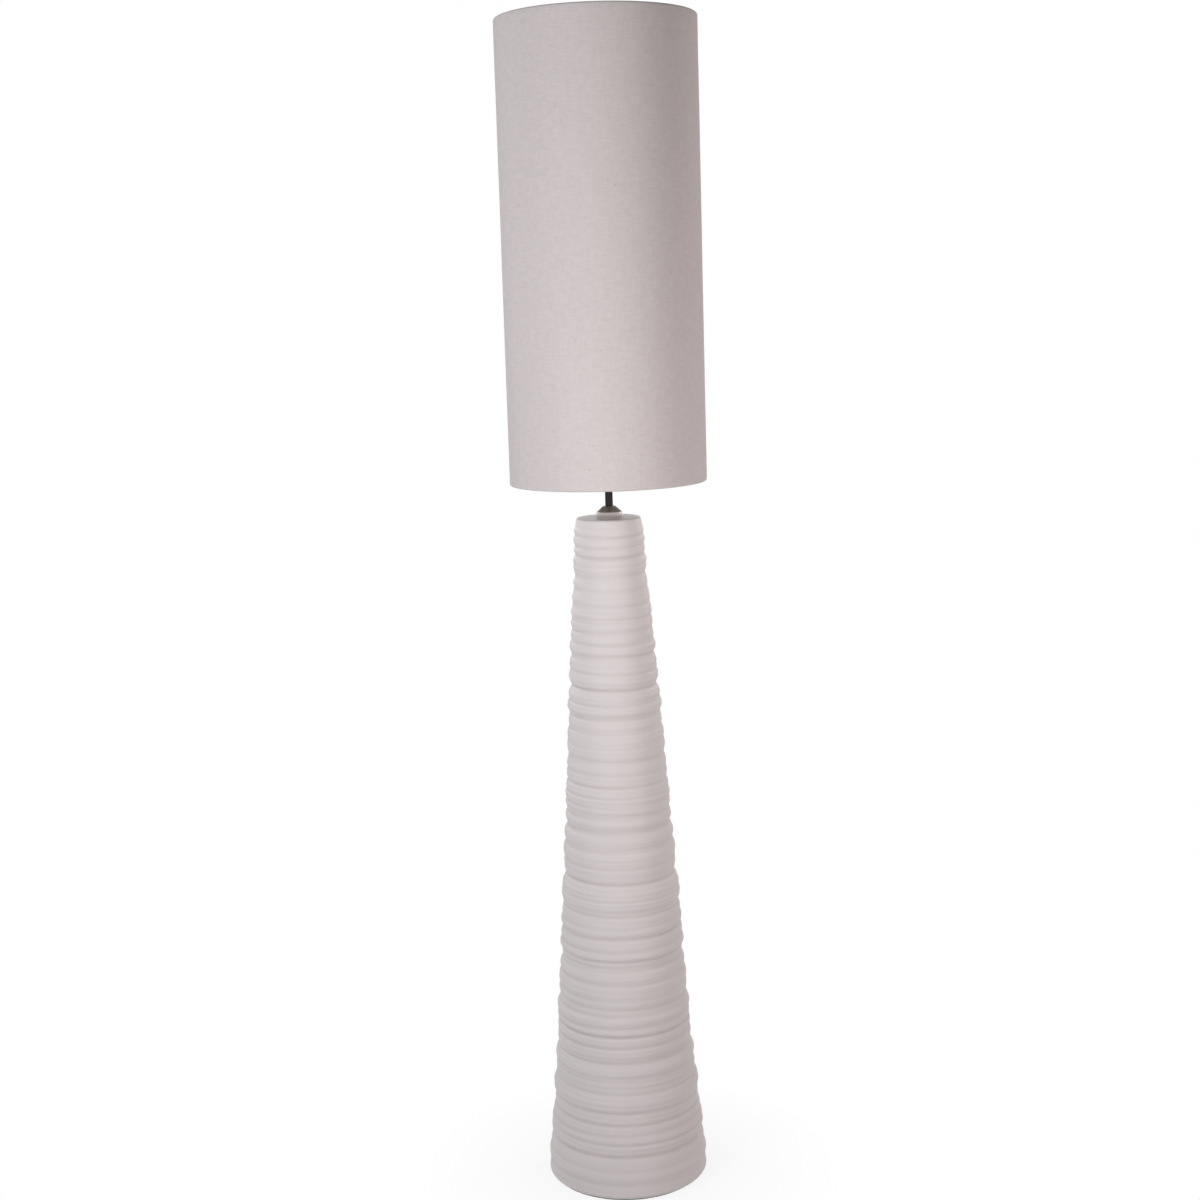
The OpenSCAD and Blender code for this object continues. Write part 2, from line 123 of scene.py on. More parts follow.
def per_metre(size_mm):
    """The scale of a pattern whose features are size_mm across."""
    return 1000 / size_mm


# ---------------------------------------------------------------- materials


def glazed_stoneware(look):
    """Stoneware under a matt white glaze: soft highlights; darker in the grooves, partly from thin
    grey glaze pooled there and partly as painted shade.
    """
    material, tree, shader, place = new_material("matt_glazed_stoneware", look.glaze, 0.5)
    stretched = add_node(
        tree, "ShaderNodeMapping", inputs={"Vector": place, "Scale": (1, 1, 26)}
    ).outputs["Vector"]
    # The groove mask darkens the glaze: partly the glaze's own grey where it pools, partly painted
    # shade in the grooves
    groove = add_node(tree, "ShaderNodeAttribute", {"attribute_name": "groove"}).outputs["Fac"]
    tone = add_node(
        tree,
        "ShaderNodeMix",
        {"data_type": "RGBA"},
        {"Factor": groove, 6: (*look.glaze, 1), 7: (*look.groove, 1)},
    ).outputs[2]
    cloud = add_node(
        tree,
        "ShaderNodeTexNoise",
        inputs={"Vector": place, "Scale": per_metre(70), "Detail": 3.0},
    ).outputs["Fac"]
    streak = add_node(
        tree,
        "ShaderNodeTexNoise",
        inputs={"Vector": stretched, "Scale": per_metre(60), "Detail": 2.0},
    ).outputs["Fac"]
    mottle = add_node(
        tree, "ShaderNodeMapRange", inputs={"Value": cloud, "To Min": 0.965, "To Max": 1.03}
    ).outputs["Result"]
    band = add_node(
        tree, "ShaderNodeMapRange", inputs={"Value": streak, "To Min": 0.985, "To Max": 1.015}
    ).outputs["Result"]
    shade = add_node(tree, "ShaderNodeMath", {"operation": "MULTIPLY"}, {0: mottle, 1: band})
    colour = add_node(
        tree,
        "ShaderNodeVectorMath",
        {"operation": "SCALE"},
        {0: tone, "Scale": shade.outputs[0]},
    ).outputs[0]
    tree.links.new(colour, shader.inputs["Base Color"])
    grain = add_node(
        tree,
        "ShaderNodeTexNoise",
        inputs={"Vector": place, "Scale": per_metre(1.6), "Detail": 2.0},
    ).outputs["Fac"]
    rough = add_node(
        tree, "ShaderNodeMapRange", inputs={"Value": grain, "To Min": 0.46, "To Max": 0.58}
    ).outputs["Result"]
    tree.links.new(rough, shader.inputs["Roughness"])
    relief = add_node(
        tree, "ShaderNodeMath", {"operation": "ADD"}, {0: streak, 1: grain}
    ).outputs[0]
    bump = add_node(
        tree,
        "ShaderNodeBump",
        inputs={"Height": relief, "Strength": 0.5, "Distance": 0.00016},
    )
    tree.links.new(bump.outputs["Normal"], shader.inputs["Normal"])
    return material


def woven_linen(look):
    """Slubby linen and cotton cloth: warp and weft of uneven yarn, dry and without shine."""
    material, tree, shader, _ = new_material(
        "greige_woven_linen", look.light_yarn, 0.92, sheen_weight=0.12, sheen_roughness=0.6
    )
    shader.inputs["Specular IOR Level"].default_value = 0.2
    cut = add_node(tree, "ShaderNodeUVMap", {"uv_map": "cut"}).outputs["UV"]
    yarn = look.yarn / MM
    # Yarn lies 0.6 mm apart in the cloth; it is drawn wider, or it would not show
    weft = add_node(
        tree,
        "ShaderNodeMapping",
        inputs={"Vector": cut, "Scale": (per_metre(look.slub / MM), per_metre(yarn), 1)},
    ).outputs["Vector"]
    warp = add_node(
        tree,
        "ShaderNodeMapping",
        inputs={"Vector": cut, "Scale": (per_metre(yarn), per_metre(look.slub / MM), 1)},
    ).outputs["Vector"]
    weft_yarn = add_node(
        tree,
        "ShaderNodeTexNoise",
        {"noise_dimensions": "2D"},
        {"Vector": weft, "Scale": 1.0, "Detail": 2.0, "Roughness": 0.6},
    ).outputs["Fac"]
    warp_yarn = add_node(
        tree,
        "ShaderNodeTexNoise",
        {"noise_dimensions": "2D"},
        {"Vector": warp, "Scale": 1.0, "Detail": 2.0, "Roughness": 0.6},
    ).outputs["Fac"]
    # The weft's slubs show more than the warp's
    half = add_node(
        tree,
        "ShaderNodeMix",
        inputs={"Factor": 0.4, "A": weft_yarn, "B": warp_yarn},
    ).outputs["Result"]
    weave = add_node(
        tree,
        "ShaderNodeMapRange",
        inputs={"Value": half, "From Min": 0.2, "From Max": 0.8},
    ).outputs["Result"]
    tone = add_node(
        tree,
        "ShaderNodeMix",
        {"data_type": "RGBA"},
        {"Factor": weave, 6: (*look.dark_yarn, 1), 7: (*look.light_yarn, 1)},
    ).outputs[2]
    fleck = add_node(
        tree,
        "ShaderNodeTexNoise",
        {"noise_dimensions": "2D"},
        {"Vector": cut, "Scale": per_metre(6), "Detail": 1.0},
    ).outputs["Fac"]
    knot = add_node(
        tree,
        "ShaderNodeMapRange",
        inputs={"Value": fleck, "From Min": 0.84, "From Max": 0.87, "To Min": 0, "To Max": 0.5},
    ).outputs["Result"]
    flecked = add_node(
        tree,
        "ShaderNodeMix",
        {"data_type": "RGBA"},
        {"Factor": knot, 6: tone, 7: (*look.fleck, 1)},
    ).outputs[2]
    cloud = add_node(
        tree,
        "ShaderNodeTexNoise",
        {"noise_dimensions": "2D"},
        {"Vector": cut, "Scale": per_metre(look.slub / MM / 2.5), "Detail": 3.0, "Roughness": 0.7},
    ).outputs["Fac"]
    thick = add_node(
        tree, "ShaderNodeMapRange", inputs={"Value": cloud, "To Min": 0.93, "To Max": 1.07}
    ).outputs["Result"]
    colour = add_node(
        tree, "ShaderNodeVectorMath", {"operation": "SCALE"}, {0: flecked, "Scale": thick}
    ).outputs[0]
    tree.links.new(colour, shader.inputs["Base Color"])
    bump = add_node(
        tree, "ShaderNodeBump", inputs={"Height": half, "Strength": 0.6, "Distance": 0.0005}
    )
    tree.links.new(bump.outputs["Normal"], shader.inputs["Normal"])
    return material


def dark_chrome(name, colour, roughness):
    """Dark chrome on brass: a deep mirror with the faint marks of the buffing wheel."""
    material, tree, shader, place = new_material(name, colour, roughness, 1.0)
    # The plating is as dark at the rim as in the middle
    shader.inputs["Specular Tint"].default_value = (*colour, 1)
    haze = add_node(
        tree,
        "ShaderNodeTexNoise",
        inputs={"Vector": place, "Scale": per_metre(3), "Detail": 3.0},
    ).outputs["Fac"]
    rough = add_node(
        tree,
        "ShaderNodeMapRange",
        inputs={"Value": haze, "To Min": roughness * 0.8, "To Max": roughness * 1.2},
    ).outputs["Result"]
    tree.links.new(rough, shader.inputs["Roughness"])
    bump = add_node(
        tree, "ShaderNodeBump", inputs={"Height": haze, "Strength": 0.15, "Distance": 0.00005}
    )
    tree.links.new(bump.outputs["Normal"], shader.inputs["Normal"])
    return material


def plain_metal(name, colour, tarnish, roughness, patch_mm):
    """A plated or plain metal: its colour drifts in patches and its polish with them."""
    material, tree, shader, place = new_material(name, linear(colour), roughness, 1.0)
    patch = add_node(
        tree,
        "ShaderNodeTexNoise",
        inputs={"Vector": place, "Scale": per_metre(patch_mm), "Detail": 3.0},
    ).outputs["Fac"]
    tone = add_node(
        tree,
        "ShaderNodeMix",
        {"data_type": "RGBA"},
        {"Factor": patch, 6: (*linear(colour), 1), 7: (*linear(tarnish), 1)},
    ).outputs[2]
    tree.links.new(tone, shader.inputs["Base Color"])
    rough = add_node(
        tree,
        "ShaderNodeMapRange",
        inputs={"Value": patch, "To Min": roughness * 0.8, "To Max": roughness * 1.3},
    ).outputs["Result"]
    tree.links.new(rough, shader.inputs["Roughness"])
    return material


def zinc_plate():
    """Zinc-plated steel, chromated: a dull grey mirror with a faint yellow and blue bloom."""
    return plain_metal("zinc_plated_steel", "#C9C8C2", "#B5B09A", 0.34, 6)


def rolled_brass():
    """Rolled sheet brass, as stamped: warm, and a little brown where it was handled."""
    return plain_metal("rolled_brass", "#D9B56C", "#B98F4E", 0.3, 5)


def nickel_plate():
    """Nickel on brass, as on a bulb's screw cap: pale, bright and slightly warm."""
    return plain_metal("nickel_plated_brass", "#D4D0C8", "#BDB8AE", 0.24, 8)


def tin_solder():
    """Tin solder: a soft grey bead, dull where it cooled."""
    return plain_metal("tin_solder", "#B9B9B6", "#8E8E8C", 0.42, 1.5)


def fine_grained(name, colour, roughness, grain_mm, depth_mm, shift=0.06, **sockets):
    """A plain finish with a fine even grain: its colour and its relief follow the grain."""
    material, tree, shader, place = new_material(name, linear(colour), roughness, **sockets)
    grain = add_node(
        tree,
        "ShaderNodeTexNoise",
        inputs={"Vector": place, "Scale": per_metre(grain_mm), "Detail": 3.0},
    ).outputs["Fac"]
    tint = add_node(
        tree,
        "ShaderNodeMapRange",
        inputs={"Value": grain, "To Min": 1 - shift, "To Max": 1 + shift},
    ).outputs["Result"]
    tone = add_node(
        tree,
        "ShaderNodeVectorMath",
        {"operation": "SCALE"},
        {0: linear(colour), "Scale": tint},
    ).outputs[0]
    tree.links.new(tone, shader.inputs["Base Color"])
    bump = add_node(
        tree,
        "ShaderNodeBump",
        inputs={"Height": grain, "Strength": 0.6, "Distance": depth_mm * MM},
    )
    tree.links.new(bump.outputs["Normal"], shader.inputs["Normal"])
    return material


def wool_felt():
    """Pressed wool felt: matt, dark and hairy, with no highlight at all."""
    return fine_grained("pressed_wool_felt", "#4C4642", 1.0, 0.9, 0.5, 0.25, sheen_weight=0.3)


def black_rubber():
    """Moulded black rubber: grey-black, with a broad dull sheen."""
    return fine_grained("moulded_black_rubber", "#1D1D1D", 0.7, 1.2, 0.04)


def clear_rubber():
    """Milky silicone rubber: pale, soft-edged, with a low gloss."""
    return fine_grained("milky_silicone_rubber", "#D8D5CF", 0.45, 2, 0.02)


def black_plastic():
    """Moulded black polyester plastic: a fine spark-eroded grain and a half gloss."""
    return fine_grained("moulded_black_plastic", "#161616", 0.42, 0.7, 0.02)


def glazed_porcelain():
    """Glazed porcelain: white and glossy over a faintly uneven body."""
    return fine_grained("glazed_porcelain", "#EEEBE3", 0.16, 4, 0.03, 0.02, coat_weight=0.5)


def powder_coat():
    """White powder coat on steel wire: half gloss, with the orange peel of the melt."""
    return fine_grained("white_powder_coat", "#E9E8E4", 0.4, 0.8, 0.03, 0.015)


def plastic_lining():
    """Styrene film behind the cloth: off-white, smooth, with a soft gloss."""
    return fine_grained("styrene_lining_film", "#F0ECE4", 0.38, 30, 0.05, 0.015)


def black_glass():
    """The black glass that parts the bulb's two contacts: deep and glossy."""
    return fine_grained("black_cap_glass", "#0D0D10", 0.12, 3, 0.01, coat_weight=0.6)


def opal_glass():
    """Opal glass: white all through, with a clear gloss on its outer face."""
    return fine_grained("opal_glass", "#F5F3EE", 0.2, 25, 0.02, 0.01, coat_weight=0.4)


# ---------------------------------------------------------------- shaping


def rounded(points, radius, steps=4):
    """A closed outline of (radius, height) points with each corner rounded off."""
    result = []
    count = len(points)
    for k, here in enumerate(points):
        here = Vector(here)
        before = Vector(points[k - 1]) - here
        after = Vector(points[(k + 1) % count]) - here
        size = radius[k] if isinstance(radius, (list, tuple)) else radius
        half = before.angle(after) / 2
        if size <= 0 or here.x < 1e-6 or half > math.radians(85):
            result.append(tuple(here))
            continue
        reach = min(size / math.tan(half), 0.45 * before.length, 0.45 * after.length)
        first = here + before.normalized() * reach
        last = here + after.normalized() * reach
        for step in range(steps + 1):
            t = step / steps
            result.append(tuple(first * (1 - t) ** 2 + here * 2 * t * (1 - t) + last * t * t))
    return result


def plain_ring(bore, outer, low, high):
    """The outline of a ring with a square section."""
    return [(bore, low), (outer, low), (outer, high), (bore, high)]


def facing_rear(height):
    """The frame of a piece whose axis runs to the rear, at a height in millimetres."""
    return Matrix.Translation((0, 0, height * MM)) @ Matrix.Rotation(-math.pi / 2, 4, "X")


def rows_between(low, high, step):
    """Heights from low to high, about step apart."""
    return np.linspace(low, high, max(int(round((high - low) / step)) + 1, 2))


def put_in_scene(name, data):
    """A new object that shows data, linked to the scene."""
    thing = bpy.data.objects.new(name, data)
    bpy.context.scene.collection.objects.link(thing)
    return thing


def new_piece(name, points, faces, sharp=40):
    """A mesh piece, with points in millimetres, in the lamp's own frame."""
    mesh = bpy.data.meshes.new(name)
    mesh.from_pydata((np.asarray(points, float) * MM).tolist(), [], faces)
    work = bmesh.new()
    work.from_mesh(mesh)
    bmesh.ops.remove_doubles(work, verts=work.verts, dist=1e-7)
    work.to_mesh(mesh)
    work.free()
    mesh.shade_smooth()
    mesh.set_sharp_from_angle(angle=math.radians(sharp))
    return put_in_scene(name, mesh)


def turned(name, outline, segments=96, swell=None, placed=None, sharp=40):
    """A piece turned about an axis from a closed outline of (radius, height) points.

    swell(angle, radius, height) gives the radius at each angle. placed is the axis's frame.
    """
    loop = np.array(outline, float)
    angles = np.arange(segments) * FULL_TURN / segments
    radius = np.repeat(loop[None, :, 0], segments, axis=0)
    height = np.repeat(loop[None, :, 1], segments, axis=0)
    if swell is not None:
        radius = swell(angles[:, None], radius, height)
    points = np.stack(
        [radius * np.cos(angles)[:, None], radius * np.sin(angles)[:, None], height], axis=-1
    ).reshape(-1, 3)
    if placed is not None:
        turn = np.array(placed.to_3x3())
        points = points @ turn.T + np.array(placed.translation) / MM
    count = len(loop)
    faces = []
    for i in range(segments):
        here, there = i * count, (i + 1) % segments * count
        for j in range(count):
            after = (j + 1) % count
            faces.append((here + j, there + j, there + after, here + after))
    return new_piece(name, points, faces, sharp)


def thread(pitch, depth, low, high, least):
    """A swell that cuts a round screw thread between two heights, on radii over least."""

    def cut(angle, radius, height):
        phase = FULL_TURN * height / pitch - angle
        fade = np.clip(np.minimum(height - low, high - height) / (pitch / 2), 0, 1)
        drop = depth * (1 - np.cos(phase)) / 2 * fade
        return np.where(radius > least, radius - drop, radius)

    return cut


def dress(piece, body, material, slot, *nodes):
    """Gives a new piece its finish and its body, and lets it stand for its CAD nodes."""
    piece.data.materials.append(material)
    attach(piece, body)
    if nodes:
        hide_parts(*nodes)
    return piece


def paint(material, slot, *nodes):
    """Gives CAD nodes that keep their own shape their finish."""
    for name in nodes:
        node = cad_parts[name]
        node.data.materials.clear()
        node.data.materials.append(material)
        node.data.shade_smooth()
        node.data.set_sharp_from_angle(angle=math.radians(30))


def drift(seed, size, low, high):
    """A smooth random curve of height, between -1 and 1, that wanders over size."""
    draw = np.random.RandomState(seed)
    knots = np.arange(low - 2 * size, high + 3 * size, size)
    values = draw.uniform(-1, 1, len(knots))

    def curve(height):
        place = np.clip((height - knots[0]) / size, 0, len(knots) - 1.001)
        index = place.astype(int)
        t = place - index
        ease = t * t * (3 - 2 * t)
        return values[index] * (1 - ease) + values[index + 1] * ease

    return curve


# ---------------------------------------------------------------- column


def thrown_radius(step=0.5, blur=1.2):
    """The column's outline, read from its node's front: radius by height, softly rounded."""
    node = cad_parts["ceramic_column"]
    low, high = heights_of("ceramic_column")
    heights = rows_between(low + 0.01, high - 0.01, step)
    rearward = Vector((0, 1, 0))
    radii = []
    for height in heights:
        hit, place, _, _ = node.ray_cast(Vector((0, -1, height * MM)), rearward)
        radii.append(-place.y / MM if hit else radii[-1])
    reach = int(4 * blur / step)
    bell = np.exp(-0.5 * (np.arange(-reach, reach + 1) * step / blur) ** 2)
    padded = np.pad(radii, reach, mode="reflect", reflect_type="odd")
    return heights, np.convolve(padded, bell / bell.sum(), mode="valid")


class COLUMN_PG_look(bpy.types.PropertyGroup):
    glaze: FloatVectorProperty(
        name="Glaze",
        description="Colour of the matt glaze",
        default=linear("#D6CCCC"),
        **COLOUR,
    )
    # Glaze colour in the grooves: partly the glaze's own grey, partly painted shade
    groove: FloatVectorProperty(
        name="Groove",
        description="Colour of the glaze in the grooves",
        default=linear("#BFB4B3"),
        **COLOUR,
    )
    ripple: FloatProperty(
        name="Ripple",
        description="Depth of the fine finger ripples between the rings",
        unit="LENGTH",
        min=0,
        max=0.001,
        default=0.62 * MM,
    )
    ripple_pitch: FloatProperty(
        name="Ripple pitch",
        description="Distance from one fine ripple to the next",
        unit="LENGTH",
        min=0.004,
        max=0.02,
        default=8.8 * MM,
    )
    swell: FloatProperty(
        name="Swell",
        description="Depth of the broader swells that the whole finger leaves",
        unit="LENGTH",
        min=0,
        max=0.003,
        default=1.8 * MM,
    )
    swell_pitch: FloatProperty(
        name="Swell pitch",
        description="Distance from one broad swell to the next",
        unit="LENGTH",
        min=0.01,
        max=0.04,
        default=18.5 * MM,
    )
    tilt: FloatProperty(
        name="Ring tilt",
        description="How far a ring climbs from one side of the column to the other",
        unit="LENGTH",
        min=0,
        max=0.005,
        default=1.5 * MM,
    )
    finger_lines: IntProperty(
        name="Finger lines",
        description="Number of sharper lines that a fingertip left in the clay",
        min=0,
        max=120,
        default=44,
    )
    wobble: FloatProperty(
        name="Wobble",
        description="How far the column is out of round",
        unit="LENGTH",
        min=0,
        max=0.003,
        default=0.5 * MM,
    )
    segments: IntProperty(
        name="Segments",
        description="Faces round the column",
        min=48,
        max=384,
        default=144,
    )


class COLUMN_OT_add(bpy.types.Operator):
    """Add the hand-thrown stoneware column"""

    bl_idname = "lamp.add_column"
    bl_label = "Column"

    # Sizes of the hollow and of the holes, as the part has them
    wall = 7
    floor_thick = 8
    top_thick = 8
    recess_radius = 94
    rod_hole = 5.5
    top_hole = 8
    foot_round = 5
    top_round = 3
    row_step = 1.1
    # The inlet's hole leaves room for the bush's body, and its seat for the flange
    inlet_hole = 5.55
    inlet_room = 0.5
    inlet_depth = 2.05
    # The rings stay off the rounded foot and top, and fade in over some way
    plain_foot, plain_top, fade_in = 5, 6, 10
    # The axis leans a little to the right low down and to the left higher up
    lean = ((0, 0.5), (110, 1.0), (230, 0), (400, 0.8), (620, 0.0), (800, -1.1), (914, -1.4))

    def execute(self, context):
        look = context.scene.lamp_column
        low, high = heights_of("ceramic_column")
        floor_under = heights_of("foot_cushion")[1]
        heights, radii = thrown_radius()
        foot_edge = np.interp(low + self.foot_round, heights, radii)
        top_edge = np.interp(high - self.top_round, heights, radii)

        def arc(radius, height, size, first, last, steps):
            """Points on a rounding, from its middle, its size and its two ends in degrees."""
            turns = np.radians(np.linspace(first, last, steps + 1))
            return [(radius + size * math.cos(t), height + size * math.sin(t)) for t in turns]

        side = rows_between(low + self.foot_round, high - self.top_round, self.row_step)[1:-1]
        hollow = rows_between(high - self.top_thick, floor_under + self.floor_thick, 40)
        outline = [
            *arc(foot_edge - self.foot_round, low + self.foot_round, self.foot_round, -90, 0, 10),
            *[(float(np.interp(h, heights, radii)), float(h)) for h in side],
            *arc(top_edge - self.top_round, high - self.top_round, self.top_round, 0, 90, 8),
            *[(r, high) for r in (30, 20, 12)],
            (self.top_hole + 0.4, high),
            (self.top_hole, high - 0.4),
            (self.top_hole, high - self.top_thick),
            *[(float(np.interp(h, heights, radii)) - self.wall, float(h)) for h in hollow],
            (self.rod_hole, floor_under + self.floor_thick),
            (self.rod_hole, floor_under),
            (self.recess_radius - 3, floor_under),
            (self.recess_radius - 0.9, floor_under - 0.9),
            (self.recess_radius, floor_under - 3),
            (self.recess_radius, low + 1),
            (self.recess_radius + 1, low),
        ]
        relief = self.throwing_marks(look, low, high)
        lean_h, lean_x = zip(*self.lean)

        def throw(angle, radius, height):
            """Moves the outside by the rings, the marks and the lean, and nothing inside."""
            outer = radius > np.interp(height, heights, radii) - self.foot_round - 0.01
            outer &= radius > top_edge - self.top_round - 1
            climb, marks = relief(angle, height)
            rings = np.interp(height + climb, heights, radii) - np.interp(height, heights, radii)
            inside = np.minimum(height - low - self.plain_foot, high - height - self.plain_top)
            ends = np.clip(inside / self.fade_in, 0, 1)
            ends = ends * ends * (3 - 2 * ends)
            shift = np.interp(height, lean_h, lean_x) * np.cos(angle)
            return np.where(outer, radius + (rings + marks) * ends + shift, radius)

        column = turned("stoneware_column", outline, look.segments, throw, sharp=50)
        self.mark_grooves(column, len(outline), low)
        self.cut_inlet(column)
        dress(column, "base", glazed_stoneware(look), "stoneware", "ceramic_column")
        return {"FINISHED"}

    def throwing_marks(self, look, low, high):
        """The marks of the potter's hand, by angle and height.

        Gives how far the rings climb, and how far the fine ripples, the finger lines and the
        wobble move the side in or out.
        """
        grid_step = 0.5
        grid = np.arange(low - 10, high + 10, grid_step)
        uneven, uneven_over, narrowness = 0.33, 45, 1.7

        def ribs(seed, pitch, climbs):
            """Round ribs with narrow valleys; they climb one pitch a turn where climbs is 1."""
            pitches = pitch / MM * (1 + uneven * drift(seed, uneven_over, low, high)(grid))
            phases = np.cumsum(FULL_TURN * grid_step / pitches)

            def rib(angle, height):
                wave = np.cos(np.interp(height, grid, phases) + climbs * angle)
                return 1 - 2 * ((1 + wave) / 2) ** narrowness

            return rib

        def wander(seed, size):
            """A smooth random surface, about -1 to 1, over angle and height."""
            even, along, across = (drift(seed + k, size, low, high) for k in range(3))
            return lambda angle, height: (
                even(height) + along(height) * np.cos(angle) + across(height) * np.sin(angle)
            ) / 1.7

        fine = ribs(11, look.ripple_pitch, 1)
        broad = ribs(12, look.swell_pitch, 0)
        climbing, out_of_round = wander(20, 105), wander(40, 150)
        fine_strength, broad_strength = wander(30, 36), wander(50, 60)
        draw = np.random.RandomState(17)
        # Each line's height, depth, width, facing, slope and cosine of its half length
        ranges = (
            (low + 18, high - 16),
            (0.12, 0.32),
            (1.2, 2.2),
            (0, FULL_TURN),
            (-1.6, 1.6),
            (-0.6, 0.5),
        )
        lines = [[draw.uniform(*ends) for ends in ranges] for _ in range(look.finger_lines)]
        # The whole finger sinks in more than it leaves standing
        sunk = 0.5
        # A line runs out over this much of the cosine, and has a low lip of clay over it
        run_out, lip, lip_away = 0.35, 0.4, 1.9

        def relief(angle, height):
            climb = look.tilt / MM * climbing(angle, height)
            here = height + climb
            amount = np.clip(0.7 + 0.5 * fine_strength(angle, height), 0.3, 1)
            marks = look.ripple / MM / 2 * amount * fine(angle, here)
            amount = np.clip(0.75 + 0.4 * broad_strength(angle, height), 0.45, 1)
            marks += look.swell / MM / 2 * amount * (broad(angle, here) - sunk)
            for place, depth, width, facing, slope, share in lines:
                away = angle - facing
                reach = np.clip((np.cos(away) - share) / run_out, 0, 1)
                across = (here - place - slope * np.sin(away)) / width
                marks -= depth * reach * np.exp(-across * across)
                marks += lip * depth * reach * np.exp(-((across - lip_away) ** 2))
            marks += look.wobble / MM * out_of_round(2 * angle, height)
            return climb, marks

        return relief

    def mark_grooves(self, column, count, low, window=9.0, full=1.5):
        """Stores how deep each point of the side lies under the mean of its surroundings, for the
        glaze's darkening in the grooves, which is partly painted shade.
        """
        mesh = column.data
        points = np.empty(len(mesh.vertices) * 3, np.float32)
        mesh.vertices.foreach_get("co", points)
        points = points.reshape(-1, count, 3) / MM
        radius = np.hypot(points[:, :, 0], points[:, :, 1])
        reach = int(window / self.row_step)
        bell = np.hanning(2 * reach + 1)
        padded = np.pad(radius, ((0, 0), (reach, reach)), mode="edge")
        bell /= bell.sum()
        mean = sum(weight * padded[:, k : k + count] for k, weight in enumerate(bell))
        steep = np.abs(np.gradient(radius, axis=1)) > 2 * self.row_step
        near = np.convolve(steep.any(axis=0), np.ones(2 * reach + 1), mode="same") > 0
        side = ~near[None, :] & (points[:, :, 2] > low + 2)
        groove = np.where(side, np.clip((mean - radius) / full, 0, 1), 0).astype(np.float32)
        mesh.attributes.new("groove", "FLOAT", "POINT").data.foreach_set("value", groove.ravel())

    def cut_inlet(self, column):
        """Cuts the cord's hole and the flat seat of its bush through the rear of the foot."""
        bush_low, bush_high = span("cord_bush")
        centre = (bush_low.z + bush_high.z) / 2
        hole = self.inlet_hole
        seat = (bush_high.z - bush_low.z) / 2 + self.inlet_room
        seat_y = bush_high.y - self.inlet_depth
        cutter = turned(
            "inlet_cutter",
            [(0, 80), (hole, 80), (hole, seat_y), (seat, seat_y), (seat, 125), (0, 125)],
            48,
            placed=facing_rear(centre),
        )
        cut = column.modifiers.new("inlet", "BOOLEAN")
        cut.operation = "DIFFERENCE"
        cut.solver = "EXACT"
        cut.object = cutter
        bpy.context.view_layer.objects.active = column
        with bpy.context.temp_override(object=column, active_object=column):
            bpy.ops.object.modifier_apply(modifier=cut.name)
        bpy.data.objects.remove(cutter)


# ---------------------------------------------------------------- foot and neck


